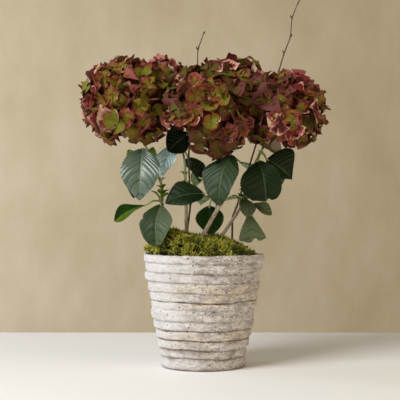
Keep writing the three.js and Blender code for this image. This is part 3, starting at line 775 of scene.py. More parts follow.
# ------------------------------------------------------------------ moss
def build_moss(look):
    """A mound of cushion moss: a lumpy bed with thousands of short curved fronds on it."""
    rng = np.random.default_rng(5)
    bundle = Bundle()
    bed, walls, caps = moss_bed()
    shades = {"bright": look.bright, "fresh": mixed(look.bright, look.green, 0.55),
              "green": look.green, "shaded": mixed(look.green, look.deep, 0.55),
              "deep": look.deep, "dry": look.dry}
    deep, dry = list(shades).index("deep"), list(shades).index("dry")
    bundle.add(bed, walls, deep)
    bundle.add(None, caps, deep)
    bundle.close()
    roots, outward, bright = moss_roots(rng, look.tufts)
    fronds, tones = moss_fronds(rng, roots, outward, bright, look.frond / MM)
    # Each frond has three root points, three in its middle and one at its tip.
    start = np.arange(len(fronds))[:, None, None] * 7
    k = np.arange(3)
    after = (k + 1) % 3
    walls = start + np.stack([k, after, after + 3, k + 3], -1)[None]
    tips = start + np.stack([k + 3, after + 3, np.full(3, 6)], -1)[None]
    heels = start[:, 0] + np.array([2, 1, 0])
    lit = np.where(tones < dry, np.maximum(tones - 1, 0), dry)  # tips catch more light
    bundle.add(fronds, walls.reshape(-1, 4), np.repeat(tones, 3))
    bundle.add(None, tips.reshape(-1, 3), np.repeat(lit, 3))
    bundle.add(None, heels, tones)
    bundle.close()
    materials = [moss_material(f"cushion moss {name}", colour) for name, colour in shades.items()]
    piece = bundle.piece("moss_mound", materials, 80)
    fit_to_frame(piece, "moss", "moss")
    return piece


def moss_material(name, colour):
    """Soft damp moss: no gloss, a faint sheen from its fine hairs."""
    return grained(name, colour, 0.9, (0.0015, 0.3, 0.0003, 1), ior=1.4, Sheen_Weight=0.06,
                   Specular_IOR_Level=0.3)


def moss_bed():
    """The mound under the fronds: its points, its rings of quads, and its end faces."""
    rings, spokes, floor = 26, 90, SOIL_TOP + CLEAR
    share = (np.arange(1, rings + 1) / rings) ** 0.7
    turn = np.linspace(0, 2 * math.pi, spokes, endpoint=False)
    x = MOSS["x"] + MOSS["radius"] * share[:, None] * np.cos(turn)
    y = MOSS["radius"] * share[:, None] * np.sin(turn)
    z = moss_height(x, y) - 3.5
    wide = 0.09  # lumps of about 11 mm
    lumps = [noise.fractal(Vector((a * wide, b * wide, 3)), 0.8, 2.0, 3)
             for a, b in zip(x.ravel(), y.ravel())]
    z += np.reshape(lumps, z.shape) * 2.2 * (share[:, None] < 0.99)
    points = np.concatenate([
        np.stack([x, y, z], -1).reshape(-1, 3),
        np.stack([x[-1], y[-1], np.full(spokes, floor)], -1),
        [[MOSS["x"], 0, moss_height(MOSS["x"], 0) - 1.5], [MOSS["x"], 0, floor]],
    ])
    k = np.arange(spokes)
    after = (k + 1) % spokes
    base = (np.arange(rings) * spokes)[:, None]
    below = base + spokes
    walls = np.stack([base + k, below + k, below + after, base + after], -1).reshape(-1, 4)
    apex, foot = len(points) - 2, rings * spokes
    top_cap = np.stack([np.full(spokes, apex), k, after], -1)
    under = np.stack([foot + after, foot + k, np.full(spokes, apex + 1)], -1)
    return points, walls, np.concatenate([top_cap, under])


def moss_roots(rng, tufts):
    """Where tufts grow, which way is out for each, and how well lit it stands."""
    share = np.sqrt(rng.random(tufts))
    turn = rng.random(tufts) * 2 * math.pi
    # It creeps over the rim at the left.
    spill = 1 + 0.09 * np.clip(-np.cos(turn) * 1.2, 0, 1) * np.clip((share - 0.6) / 0.4, 0, 1)
    x = MOSS["x"] + MOSS["radius"] * share * np.cos(turn) * spill
    y = MOSS["radius"] * share * np.sin(turn) * (1 + (spill - 1) * 0.5)
    z = moss_height(x, y) - 4.0 + 150 * (spill - 1)
    clear = np.ones(tufts, bool)
    for foot, joint, radius in CANES.values():
        level = np.clip((z - SOIL_TOP) / (joint[2] - SOIL_TOP), 0, 1)
        axis_x = foot[0] + (joint[0] - foot[0]) * level
        axis_y = foot[1] + (joint[1] - foot[1]) * level
        clear &= np.hypot(x - axis_x, y - axis_y) > radius + 1.5
    slope = np.stack([moss_height(x - 1, y) - moss_height(x + 1, y),
                      moss_height(x, y - 1) - moss_height(x, y + 1), np.full(tufts, 3.2)], -1)
    wide = 0.045  # bright and dark patches of about 22 mm
    # Painted light and shade: tufts brighter in lit patches and towards the left, where the light
    # falls.
    patch = np.array([1.5 * noise.noise(Vector((a * wide, b * wide, 9))) for a, b in zip(x, y)])
    patch += 0.25 * rng.normal(size=tufts) - 0.06 - 0.004 * x
    return np.stack([x, y, z], -1)[clear], unit(slope)[clear], patch[clear]


def moss_fronds(rng, roots, outward, bright, size):
    """Six short curved three-sided fronds to a tuft, drawn out to a point."""
    each = 6
    root = np.repeat(roots, each, 0) + rng.normal(size=(len(roots) * each, 3)) * (1.3, 1.3, 0.4)
    count = len(root)
    lean = unit(np.repeat(outward, each, 0) * 0.8 + rng.normal(size=(count, 3)) * 0.6)
    bend = unit(lean + rng.normal(size=(count, 3)) * 0.6 + (0, 0, 0.1))
    tall = size * (0.45 + 0.6 * rng.random(count) + 0.7 * rng.random(count) ** 6)[:, None]
    side = unit(np.cross(lean, rng.normal(size=(count, 3))))
    other = np.cross(lean, side)
    wide = 0.75 + 0.35 * rng.random(count)[:, None]
    middle = root + lean * tall * 0.55
    tip = middle + bend * tall * 0.5
    rings = []
    for centre, share in ((root, 0.8), (middle, 1.0)):
        for turn in (0, 2 * math.pi / 3, 4 * math.pi / 3):
            rings.append(centre + (side * math.cos(turn) + other * math.sin(turn)) * wide * share)
    points = np.stack([*rings, tip], 1)
    light = np.repeat(bright, each) + rng.normal(size=count) * 0.42
    tones = 4 - np.searchsorted([-0.4, -0.02, 0.35, 0.75], light)  # from deep to bright
    return points, np.where(rng.random(count) < 0.05, 5, tones)


# ------------------------------------------------------------------ canes, shoots and stalks
def build_canes(look):
    """Five brown canes with swollen joints, ribbed bark and raised pores."""
    bundle = Bundle()
    rng = np.random.default_rng(21)
    count, sides = 46, 16
    for name, (_, _, radius) in CANES.items():
        path = cane_path(name, count)
        share = np.linspace(0, 1, count)
        rise = path[:, 2] - SOIL_TOP
        radii = radius * (1 - 0.12 * share) + 1.5 * np.clip(1 - rise / 14, 0, 1)
        for place in (0.42 + 0.1 * rng.random(), 0.985):  # old joint, and that under the shoot
            radii = radii + 0.9 * np.exp(-(((share - place) / 0.03) ** 2))
        sway = np.sin(share[:, None] * (9, 11) + rng.random(2) * 6)
        path[:, :2] += 0.35 * sway * np.sin(math.pi * share)[:, None]
        ribs = np.sin(np.arange(sides) * math.pi * 0.75 + rng.random() * 6) * 0.12
        pores = (rng.random((count, sides)) > 0.93) * 0.3
        bark = ribs + pores + rng.normal(size=(count, sides)) * 0.05
        bundle.limb(path, radii, sides, int(name == "tall"), bark)
    green_bark = mixed(look.bark, look.green, 0.35)
    barks = [cane_bark("shrub cane bark", look.bark, look.furrow),
             cane_bark("green-barked cane", green_bark, look.furrow)]
    piece = bundle.piece("canes", barks)
    add_modifier(piece, "SUBSURF", levels=1, render_levels=1)
    fit_to_frame(piece, "cane", *(f"cane_{name}" for name in CANES))
    return piece


def cane_bark(name, bark, furrow):
    """Thin shrub bark: pale brown with long darker furrows that run up the cane."""
    return grained(name, bark, 0.75, (0.0022, 0.5, 0.0004, 0.16), (bark, furrow), (0.42, 0.68))


def build_bare_shoots(look):
    """Two dead shoots, kinked at each joint, with dry buds."""
    bundle = Bundle()
    rng = np.random.default_rng(8)
    count, sides = 90, 10
    for way, buds in BARE.values():
        corners = np.array(way, float)
        corners[0, 2] += CLEAR
        share = np.linspace(0, 1, count)
        path = along_path(corners, share)
        path[1:-1] = (path[:-2] + 2 * path[1:-1] + path[2:]) / 4
        gone = np.linalg.norm(corners - corners[0], axis=1)
        gone /= gone[-1]
        radii = 1.75 - 0.95 * share
        for place in gone[1:-1]:
            radii = radii + 0.45 * np.exp(-(((share - place) / 0.008) ** 2))
        bundle.limb(path, radii, sides, 0, rng.normal(size=(count, sides)) * 0.07)
        for index, heading in buds:
            add_bud(bundle, corners[index], heading, 6.0, 1.5)
    piece = bundle.piece("bare_shoots", [dead_bark(look)])
    fit_to_frame(piece, "bare_shoot", *(f"bare_shoot_{name}" for name in BARE))
    return piece


def add_bud(bundle, place, heading, size, wide, tone=0, rise=1.6):
    """A pointed bud of two scales that stands off a joint."""
    turn = math.radians(heading)
    outward = unit(np.array([math.cos(turn), math.sin(turn), rise]))
    share = np.linspace(0, 1, 7)
    path = np.asarray(place) + outward * size * share[:, None]
    path[:, 2] += 0.12 * size * share**2
    radii = wide * np.array([0.35, 0.75, 1.0, 0.95, 0.7, 0.4, 0.08])
    bundle.limb(path, radii, 7, tone)


def dead_bark(look):
    """Dry dead bark: grey-brown, finely cracked along the shoot."""
    crack = mixed(look.dead, (0.02, 0.015, 0.01), 0.6)
    return grained("dead shrub bark", look.dead, 0.85, (0.0016, 0.6, 0.0004, 0.2),
                   (look.dead, crack), (0.4, 0.7))


def build_green_shoots(look):
    """Soft green shoots with their leaf stalks, and buds in the leaf joints."""
    bundle = Bundle()
    rng = np.random.default_rng(3)
    for name, leaves in LEAVES.items():
        cane = cane_path(name, CANE_STEPS + 1)
        start = cane[-1] + unit(cane[-1] - cane[-2]) * CLEAR
        path = np.concatenate([[start], shoot_path(name, LIMB_STEPS), [stalk_ends(name)[0]]])
        share = np.linspace(0, 1, len(path))
        radii = 2.4 - 0.6 * share
        joints = sorted({round(leaf.place, 1) for leaf in leaves})
        for place in joints:
            radii = radii + 0.8 * np.exp(-(((share - place) / 0.035) ** 2))
        bundle.limb(path, radii, 12, 0)
        for leaf in leaves:
            root = along_path(path, [leaf.place])[0]
            stalk = leaf_stalk(root, np.array(leaf.foot, float), leaf_frame(leaf)[0])
            thick = 1.2 + 0.016 * leaf.width
            radii = np.linspace(thick, 0.6 * thick, len(stalk))
            bundle.limb(stalk, radii, 8, int(rng.random() > 0.7))
        for place in joints:
            spot = along_path(path, [min(place + 0.02, 1)])[0]
            heading = rng.random() * 360
            add_bud(bundle, spot, heading, 8, 1.8, 1, 1.1)
            add_bud(bundle, spot, heading + 180, 6.5, 1.5, 1, 1.1)
    piece = bundle.piece("green_shoots", [green_stem(look), new_bud(look)])
    fit_to_frame(piece, "foliage", *(f"foliage_{name}" for name in SHOOTS))
    return piece


def leaf_stalk(root, foot, along):
    """Centres of a leaf stalk that leaves its shoot, arches, and runs into the midrib."""
    span = np.linalg.norm(foot - root)
    knee = root + (foot - root) * 0.55 + np.array([0, 0, span * 0.14])
    return smooth_path([root, knee, foot, foot + along * 4], 12)


def green_stem(look):
    """Soft green stem: smooth, slightly waxy, with faint ridges."""
    tints = mixed(look.green, BLACK, 0.35), mixed(look.green, (1, 1, 0.8), 0.12)
    return grained("green shrub stem", look.green, 0.5, (0.0025, 0.25, 0.0003, 0.2), tints,
                   Coat_Weight=0.1)


def new_bud(look):
    """Fresh bud scales: brighter yellow-green, with a soft sheen."""
    fresh = mixed(look.green, linear("6f8f1f"), 0.6)
    return grained("fresh bud scale", fresh, 0.5, (0.0015, 0.3, 0.0003, 1))


# ------------------------------------------------------------------ leaves
def leaf_frame(leaf):
    """A leaf's directions along its midrib, across it and out of its face, and its length in mm."""
    span = np.array(leaf.tip, float) - np.array(leaf.foot, float)
    size = np.linalg.norm(span)
    along = span / size
    level = unit(np.array([-along[1], along[0], 0.0]))
    angle = math.radians(leaf.turn)
    across = level * math.cos(angle) + np.cross(along, level) * math.sin(angle)
    normal = np.cross(along, across)
    return along, across, -normal if normal[2] < 0 else normal, size


def leaf_rows(size):
    """Rows of a leaf by where they meet its margin, a narrow one for each side vein and three
    between, with which rows are veins and how far each line between them bulges."""
    gap = 1 / (SIDE_VEINS + 0.5)
    wide = 1.1 / size
    rows, is_vein, bulge = [0.0], [], [0.0]
    for k in range(SIDE_VEINS + 1):
        start, end = k * gap, min((k + 1) * gap, 1.0)
        for share in (0.3, 0.66, 1.0):
            rows.append(start + wide * (k > 0) + (end - start - wide * (k > 0)) * share)
            is_vein.append(0)
            bulge.append(1.0 if share < 1 else 0.0)
        if k < SIDE_VEINS and end + wide < 1:
            rows.append(end + wide)
            is_vein.append(1)
            bulge.append(0.0)
    rows[-1] = 1.0
    return np.array(rows), np.array(is_vein), np.array(bulge)


def leaf_surface(leaf, rng, blunt=0.0, notch=0.0, lean=0.0):
    """A leaf's upper face as a grid of points, the way it faces, which of its rows are veins, and
    how far each line of the grid lies from the midrib."""
    along, across, normal, size = leaf_frame(leaf)
    rows, is_vein, bulge = leaf_rows(size)
    columns = np.array([0, 0.035, 0.16, 0.32, 0.48, 0.64, 0.8, 0.92, 1.0])
    q = np.concatenate([-columns[:0:-1], columns])[None, :]
    t = rows[:, None]
    reach = np.abs(q)
    m = t**3  # a row leaves the midrib well before it meets the margin, as side veins sweep forward
    station = m + (t - m) * reach**1.2
    profile = np.clip(station * (1 - blunt / 2), 0, 1) ** leaf.broad
    half = leaf.width * np.sin(math.pi * profile) ** 0.8 / 2
    half = half * (1 + 0.05 * np.sin(7 * t + q * 2 + rng.random() * 6))
    bite = notch * np.exp(-(((station - 0.4) / 0.07) ** 2)) * (q < 0)
    half = half * (1 - bite) * (1 - lean * np.sign(q))
    tooth = np.where(np.arange(len(rows)) % 2 == 0, 0.8, -0.8)[:, None] * (reach > 0.95)
    tooth = tooth * np.sin(math.pi * t)
    off = q * half + np.sign(q) * tooth
    end = station**8 * blunt
    along_by = size * station - end * (14 * np.exp(-(((q - 0.25) / 0.16) ** 2)) + 8 * q**2)
    lift = leaf.arch * np.sin(math.pi * station)
    lift = lift + 0.15 * np.abs(off)  # folded a little along the midrib
    lift = lift + bulge[:, None] * np.sin(math.pi * np.clip(reach, 0, 1)) ** 0.6 * (t < 0.96)
    lift = lift - 0.8 * np.exp(-((off / 1.3) ** 2))  # the midrib lies sunk
    phase = rng.random() * 6
    ripple = np.sin(station * 11 + phase + q * 1.5) * np.sin(math.pi * t)
    lift = lift + leaf.width * 0.035 * reach**3 * ripple
    lift = lift + leaf.width * 0.05 * reach**2 * np.sin(station * 5 + phase * 2 + np.sign(q))
    lift = lift + end * 3 * np.sin(2 * math.pi * q)
    twist = (rng.random() - 0.5) * 0.35 * (station - 0.3)
    lift = lift + off * twist
    points = (np.array(leaf.foot, float) + along * along_by[..., None] + across * off[..., None]
              + normal * lift[..., None])
    return points, normal, is_vein, np.abs(q[0])


def add_leaf(bundle, leaf, thick, rng, other_half=None, fade=(), **shape):
    """One leaf as a thin closed blade: upper face, underside and shared toothed edge."""
    top, normal, is_vein, reach = leaf_surface(leaf, rng, **shape)
    high, wide = top.shape[:2]
    points = np.concatenate([top.reshape(-1, 3), (top - normal * thick).reshape(-1, 3)])

    # The palette holds three colours of each finish, for blade, side vein and midrib, and then two
    # of the underside, for blade and vein. The side vein is painted darker than its blade, as
    # painted shade in its sunken groove.
    finishes = list(LEAF_FINISHES)
    base = np.full((high - 1, wide - 1), finishes.index(leaf.finish) * 3)
    # A fade or another half paints part of a blade darker or lighter; some leaves use them as
    # painted shade and painted sheen.
    for start, finish in fade:
        base[int(start * high):] = finishes.index(finish) * 3
    if other_half:
        base[:, : wide // 2] = finishes.index(other_half) * 3
    plain = len(finishes) * 3
    middle = np.broadcast_to(((reach[:-1] + reach[1:]) / 2)[None, :], (high - 1, wide - 1))
    side_vein = (is_vein[:, None] == 1) & (middle < 0.9)
    upper = np.where(middle < 0.03, base + 2, np.where(side_vein, base + 1, base))
    lower = np.where(side_vein | (middle < 0.03), plain + 1, plain)
    if leaf.finish == "fresh":
        lower = np.where(side_vein, base + 1, base)  # a young leaf is as green below
    lower = np.where(middle > 0.95, base, lower)  # the rolled margin keeps the upper side's colour
    towards = np.array([0, -1.0 if leaf.foot[1] < 40 else 1.0, 0.6])
    if normal.dot(towards) < 0:  # a hanging leaf turns its upper side out, away from the canes
        upper, lower = lower, upper
    over = top[high // 2, -1] - top[high // 2, 0]
    down = top[-1, wide // 2] - top[0, wide // 2]
    orders = [(0, 1, 2, 3), (3, 2, 1, 0)]
    if np.cross(over, down).dot(normal) > 0:
        orders.reverse()
    face, back = blade_numbers(high, wide)
    bundle.add(points, grid_quads(face, orders[0]), upper.ravel())
    bundle.add(None, grid_quads(back, orders[1]), lower.ravel())
    bundle.close()


def build_leaves(look):
    """All leaves, quilted between their side veins, with toothed, waving margins."""
    bundle = Bundle()
    thick = look.thickness / MM
    for order, (name, leaves) in enumerate(LEAVES.items()):
        for number, leaf in enumerate(leaves):
            rng = np.random.default_rng(17 + 20 * order + number)
            add_leaf(bundle, leaf, thick, rng, **LEAF_SHAPES.get((name, number), {}))
        path = shoot_path(name, LIMB_STEPS)
        for place, size in YOUNG_LEAVES:
            root = along_path(path, [place])[0]
            heading = rng.normal() * 0.4 - math.pi / 2  # they turn to the light in front
            for side in (-1.1, 1.1):
                out = np.array([math.cos(heading + side), math.sin(heading + side), 0.7])
                foot = root + unit(out) * 2.4
                tip = foot + unit(out * (0.8, 0.8, 1)) * size * (0.8 + 0.5 * rng.random())
                young = Leaf(place, foot, tip, size * 0.75, 0, 1.5, 1.1, "fresh")
                add_leaf(bundle, young, 0.35, rng)
    materials = []
    for finish, shine in LEAF_FINISHES.items():
        blade = getattr(look, finish)
        # Painted shade: the side vein darker than the blade, the more so on a shinier leaf.
        vein = mixed(blade, BLACK, 0.3 + 0.35 * shine)
        midrib = mixed(blade, look.midrib, 0.14 + 0.4 * shine)
        materials += [leaf_top(f"{finish} leaf upper side", blade, shine),
                      leaf_top(f"{finish} leaf side vein", vein, shine / 2),
                      leaf_top(f"{finish} leaf midrib", midrib, shine)]
    pale_vein = mixed(look.under, linear("b9c79a"), 0.5)
    materials += [leaf_back("leaf underside", look.under),
                  leaf_back("leaf underside vein", pale_vein)]
    piece = bundle.piece("leaves", materials, 75)
    fit_to_frame(piece, "foliage", *(f"foliage_{name}" for name in SHOOTS))
    return piece


def leaf_top(name, colour, shine):
    """Waxy upper side of a leaf: a broad cool shine that follows the quilting."""
    return grained(name, colour, 0.58 - 0.25 * shine, (0.0018, 0.2, 0.0003, 1), ior=1.45,
                   Coat_Weight=shine, Coat_Roughness=0.34, Specular_IOR_Level=0.1 + 0.55 * shine)


def leaf_back(name, colour):
    """Downy underside of a leaf: pale and without gloss."""
    return grained(name, colour, 0.75, (0.0012, 0.3, 0.0003, 1), ior=1.4, Sheen_Weight=0.15)


# ------------------------------------------------------------------ blooms
def sepal_grid():
    """A broad pointed sepal with a narrow claw as a square grid: places along and across, how far
    out each lies from the green heart, and how far from the sepal's own middle."""
    line = np.linspace(-1, 1, SEPAL_LINES)
    a, b = np.meshgrid(line, line, indexing="ij")
    disc_a = a * np.sqrt(1 - b**2 / 2)
    disc_b = b * np.sqrt(1 - a**2 / 2)
    along = 0.5 + 0.5 * disc_a
    claw = 0.25 + 0.75 * np.clip(along / 0.45, 0, 1) ** 0.8
    shoulder = 1 - 0.5 * np.clip((along - 0.4) / 0.6, 0, 1) ** 1.2
    across = 0.6 * disc_b * claw * shoulder
    along = along + 0.15 * np.exp(-((disc_b / 0.35) ** 2)) * np.clip(disc_a, 0, 1) ** 2
    outward = np.hypot(np.clip(disc_a, 0, 1) * 0.95, disc_b)
    return along, across, outward, np.hypot(disc_a, disc_b)


def floret_places(name, count, share, seed, lowest):
    """Centres and facing directions of florets spread over a bloom by the golden angle."""
    rng = np.random.default_rng(seed)
    k = np.arange(count)
    height = 1 - (k + 0.5) / count * (1 - math.cos(math.radians(lowest)))
    turn = k * GOLDEN + seed + rng.normal(size=count) * 0.12
    ring = np.sqrt(1 - height**2)
    direction = np.stack([ring * np.cos(turn), ring * np.sin(turn), height], -1)
    direction = unit(direction + rng.normal(size=(count, 3)) * 0.05)
    radii = bloom_radii(name, direction)
    level = share + 0.14 * (rng.random((count, 1)) - 0.5)
    centre = np.array(BLOOMS[name].centre) + direction * radii * level
    outward = direction / radii * radii.mean(-1, keepdims=True)
    facing = unit(outward + rng.normal(size=(count, 3)) * 0.33)
    keep = own_side(name, centre) > 3
    if name == FLANK_GAP["bloom"]:
        away = np.hypot(centre[:, 0] - FLANK_GAP["x"], centre[:, 2] - FLANK_GAP["z"])
        keep &= away > FLANK_GAP["radius"] + 1
    return centre[keep], facing[keep]


def press_in(name, points, limit):
    """Presses what stands out of a bloom back towards its round outline."""
    heart = np.array(BLOOMS[name].centre, float)
    off = points - heart
    radii = bloom_radii(name, off)
    reach = np.linalg.norm(off / radii, axis=-1, keepdims=True)
    pressed = (limit + (reach - limit) * 0.4) / np.maximum(reach, 1e-6)
    return heart + off * np.where(reach > limit, pressed, 1)


def florets(name, centre, facing, size, rng):
    """Four overlapping sepals to a floret: points (floret, sepal, line, line, 3), the way they
    face, and their places on the sepal."""
    along, across, outward, rim = sepal_grid()
    count = len(centre)
    each = (count, 4, 1, 1)
    side = unit(np.cross(facing, np.array([0.31, 0.2, 0.93])))
    other = np.cross(facing, side)
    turn = rng.random((count, 1)) * 2 * math.pi + np.arange(4) * math.pi / 2
    turn = (turn + rng.normal(size=(count, 4)) * 0.26).reshape(each)
    scale = size * (0.78 + 0.36 * rng.random((count, 1))) * (0.74 + 0.42 * rng.random((count, 4)))
    scale = scale.reshape(each)
    cup = 0.3 * rng.random((count, 1)) + 0.46 * rng.normal(size=(count, 4)) - 0.02
    cup = cup.reshape(each)
    roll = rng.normal(size=each) * 0.75
    curl = rng.normal(size=each) * 0.5 + 0.35
    fold = rng.random(each) * 0.9 - 0.1
    ripple = 0.03 + 0.06 * rng.random(each)
    phase = rng.random(each) * 6.28
    bend = np.clip(along - 0.35, 0, 1)
    x = scale * (along - 0.25 * np.abs(cup) * along**2 - 0.35 * np.abs(curl) * bend**2)
    y = scale * across * (1 - 0.18 * np.abs(fold))
    crook = np.arctan2(across, along - 0.45)
    z = scale * (cup * along**2 * 0.8 + 0.55 * roll * across * along + fold * across**2 * 1.5
                 - 0.85 * curl * bend**2 + ripple * rim**3 * np.sin(2 * crook + phase))
    z = z + (np.arange(4) % 2).reshape(1, 4, 1, 1) * 0.7  # every second sepal lies on the others
    level = x * np.cos(turn) - y * np.sin(turn), x * np.sin(turn) + y * np.cos(turn)
    points = centre.reshape(count, 1, 1, 1, 3) + sum(
        way.reshape(count, 1, 1, 1, 3) * far[..., None]
        for way, far in zip((side, other, facing), (*level, z)))
    points = press_in(name, points, 0.99 + 0.15 * rng.random(each + (1,)))
    normal = np.cross(np.gradient(points, axis=2), np.gradient(points, axis=3))
    return points, unit(normal), along, across, outward


def sepal_faces(count):
    """Quads of the upper faces and of the undersides of so many sepals."""
    face, back = blade_numbers(SEPAL_LINES, SEPAL_LINES)
    start = (np.arange(count) * 2 * face.size)[:, None, None]
    upper = start + grid_quads(face, (0, 3, 2, 1))
    lower = start + grid_quads(back, (1, 2, 3, 0))
    return upper.reshape(-1, 4), lower.reshape(-1, 4)


def bloom_tones(name, rng, high, along, across, outward, inner):
    """Palette numbers for the faces of each sepal, above and below: green heart, brown, then wine
    and pink to the margin, with painted highlights on some rims and painted shade on the florets
    that stand dark."""
    pinks, shaded, green = BLOOM_TINTS[name]
    count = len(high)
    sepals, faces = (count * 4, 1, 1), SEPAL_LINES - 1
    russet, wine, rose = range(TINT_STAGES - 3, TINT_STAGES)

    def on_faces(field):
        return (field[:-1, :-1] + field[1:, :-1] + field[1:, 1:] + field[:-1, 1:]) / 4

    def on_sepals(field):
        return np.repeat(field, 4).reshape(sepals)

    along, across, outward = on_faces(along), on_faces(across), on_faces(outward)
    place = 0.25 * along + 0.75 * outward
    age = rng.choice([-0.2, -0.06, 0.1, 0.3], count, p=[0.2, 0.36, 0.26, 0.18])
    age = on_sepals(age + rng.normal(size=count) * 0.06)
    own = rng.normal(size=sepals) * 0.12
    blot = rng.normal(size=(count * 4, faces, faces)) * 0.06
    tone = np.searchsorted([0.2, 0.38, 0.53, 0.67, 0.84], place + age + own + blot - green)
    pink = on_sepals(rng.random(count) < pinks)
    tone = np.where(pink, np.clip(tone + 2, wine, PALE_EDGE), tone)
    # Painted highlight: pale rims on one side of some sepals, most on the upper florets where the
    # light falls.
    highlight_share = on_sepals(np.where(high > 45, 0.42, 0.16))  # most where sun falls
    one_side = across * rng.choice([-1, 1], sepals) > 0.1
    highlight_rim = (rng.random(sepals) < highlight_share) & one_side & (outward > 0.76)
    tone = np.where(highlight_rim, np.where(blot > 0, PALE_EDGE, OLD_PINK), tone)
    dark = on_sepals(rng.random(count) < shaded)
    if inner:
        tone = np.where(tone < russet, SHADED_OLIVE, SHADED_WINE)
    else:
        tone = np.where(dark & (tone < TINT_STAGES), IN_SHADE + tone, tone)
    under = np.where(place + 3 * own + blot > 0.4, ROSE_BELOW, OLIVE_BELOW)
    under = np.where(rng.random(sepals) > 0.88, CREAM_BELOW, under)
    under = np.where(outward > 0.9, rose, under)
    return tone.ravel(), under.ravel()


def add_florets(bundle, name, centre, facing, size, seed, inner=False):
    """Adds florets, with a small round bud in the middle of each."""
    rng = np.random.default_rng(seed + 100)
    points, normal, *places = florets(name, centre, facing, size, rng)
    sepals = len(centre) * 4
    below = points - normal * 0.45
    both = np.stack([points.reshape(sepals, -1, 3), below.reshape(sepals, -1, 3)], 1)
    upper, lower = sepal_faces(sepals)
    high = centre[:, 2] - BLOOMS[name].centre[2]
    tone, under = bloom_tones(name, rng, high, *places, inner)
    bundle.add(both, upper, tone)
    bundle.add(None, lower, under)
    bundle.close()
    rise, round_bud = np.array([[-1.0], [0.3], [1.6], [2.4]]), [0.7, 1.35, 1.2, 0.4]
    for place, direction in zip(centre, facing):
        bundle.limb(place + direction * rise, round_bud, 5, FLORET_BUD)


def add_rays(bundle, name, centre, facing, rng):
    """Branching stalks that carry the florets: a few main rays, each forking to its florets."""

    def ray(bends, steps, thick, thin, sides):
        radii = np.linspace(thick, thin, steps)
        bundle.limb(smooth_path(bends, steps), radii, sides, FLORET_STALK)

    low, high = stalk_ends(name)
    crown = high + (np.array(BLOOMS[name].centre) - high) * 0.35
    ray([low, (low + high) / 2, crown], 10, 2.5, 2.2, 8)
    mains = max(7, len(centre) // 9)
    heads = centre[rng.choice(len(centre), mains, replace=False)]
    forks = crown + (heads - crown) * 0.5
    for fork in forks:
        ray([crown, (crown + fork) / 2 + (0, 0, 2), fork], 6, 1.5, 1.1, 5)
    for place, direction in zip(centre, facing):
        fork = forks[np.linalg.norm(forks - place, axis=1).argmin()]
        back = place - direction * 7
        ray([fork, (fork + back) / 2, back, place - direction], 6, 0.8, 0.6, 4)


def build_bloom(name, look, palette):
    """One mophead: rays, an inner layer of shaded florets and a full outer layer."""
    bundle = Bundle()
    order = list(BLOOMS).index(name)
    rng = np.random.default_rng(60 + order)
    outer_seed, inner_seed = 12 + 7 * order, 40 + 7 * order
    size = look.sepal / MM
    count = BLOOMS[name].florets
    outer = floret_places(name, count, OUTER_REACH, outer_seed, OUTER_LOWEST)
    add_florets(bundle, name, *outer, size, outer_seed)
    count = int(count * look.inner_share)
    inner = floret_places(name, count, INNER_REACH, inner_seed, INNER_LOWEST)
    add_florets(bundle, name, *inner, size * 0.95, inner_seed, inner=True)
    layers = [outer, inner]
    if name in EXTRA_FLORETS:
        facing = unit(np.array(EXTRA_FLORETS[name]))
        reach = facing * bloom_radii(name, facing) * 0.86
        extra = np.array(BLOOMS[name].centre) + reach, facing
        add_florets(bundle, name, *extra, size, 90 + order)
        layers.append(extra)
    add_rays(bundle, name, *(np.concatenate(parts) for parts in zip(*layers)), rng)
    piece = bundle.piece(f"mophead_{name}", palette, 55)
    fit_to_frame(piece, "bloom", f"bloom_{name}")
    return piece


def bloom_palette(look):
    """Papery autumn sepals, one plain colour for each stage from green heart to wine margin."""
    shades = [
        ("green heart", look.heart), ("olive", mixed(look.heart, look.brown, 0.5)),
        ("olive brown", look.brown), ("russet", mixed(look.brown, linear("77301c"), 0.35)),
        ("wine", look.margin), ("rose", mixed(look.margin, look.blush, 0.3)),
        ("old pink", look.blush), ("pale edge", mixed(look.blush, look.under, 0.75)),
        ("shaded olive", mixed(look.brown, BLACK, 0.5)),
        ("shaded wine", mixed(look.margin, BLACK, 0.4)),
        ("olive underside", mixed(look.heart, look.brown, 0.4)),
        ("rose underside", mixed(look.margin, look.under, 0.12)),
        ("cream underside", look.under),
    ]
    skins = [sepal_skin(f"hydrangea sepal {name}", colour) for name, colour in shades]
    bud = sepal_skin("floret bud", linear("6c6a35"))
    # Smooth dull green-brown rays.
    stalk = grained("floret stalk", linear("5c5230"), 0.6, (0.002, 0.3, 0.0003, 1))
    # The six stages again, painted darker as shade for the florets that stand in shade.
    deep = [sepal_skin(f"hydrangea sepal deep {name}", mixed(colour, BLACK, 0.5))
            for name, colour in shades[:TINT_STAGES]]
    return [*skins, bud, stalk, *deep]


def sepal_skin(name, colour):
    """Drying papery sepal: matte, finely veined, with a very soft sheen."""
    return grained(name, colour, 0.66, (0.0022, 0.3, 0.0004, 1), ior=1.42, Specular_IOR_Level=0.28)


# ------------------------------------------------------------------ stage
def add_sheet(name, place, wide, deep):
    """A flat sheet of the stage at its place, all selected in edit mode."""
    deselect()
    bpy.ops.mesh.primitive_plane_add(size=1, location=place)
    sheet = bpy.context.object
    sheet.name = name
    bpy.ops.transform.resize(value=(wide, deep, 1))
    bpy.ops.object.transform_apply(location=True, rotation=False, scale=True)
    bpy.ops.object.mode_set(mode="EDIT")
    bpy.ops.mesh.select_all(action="SELECT")
    return sheet


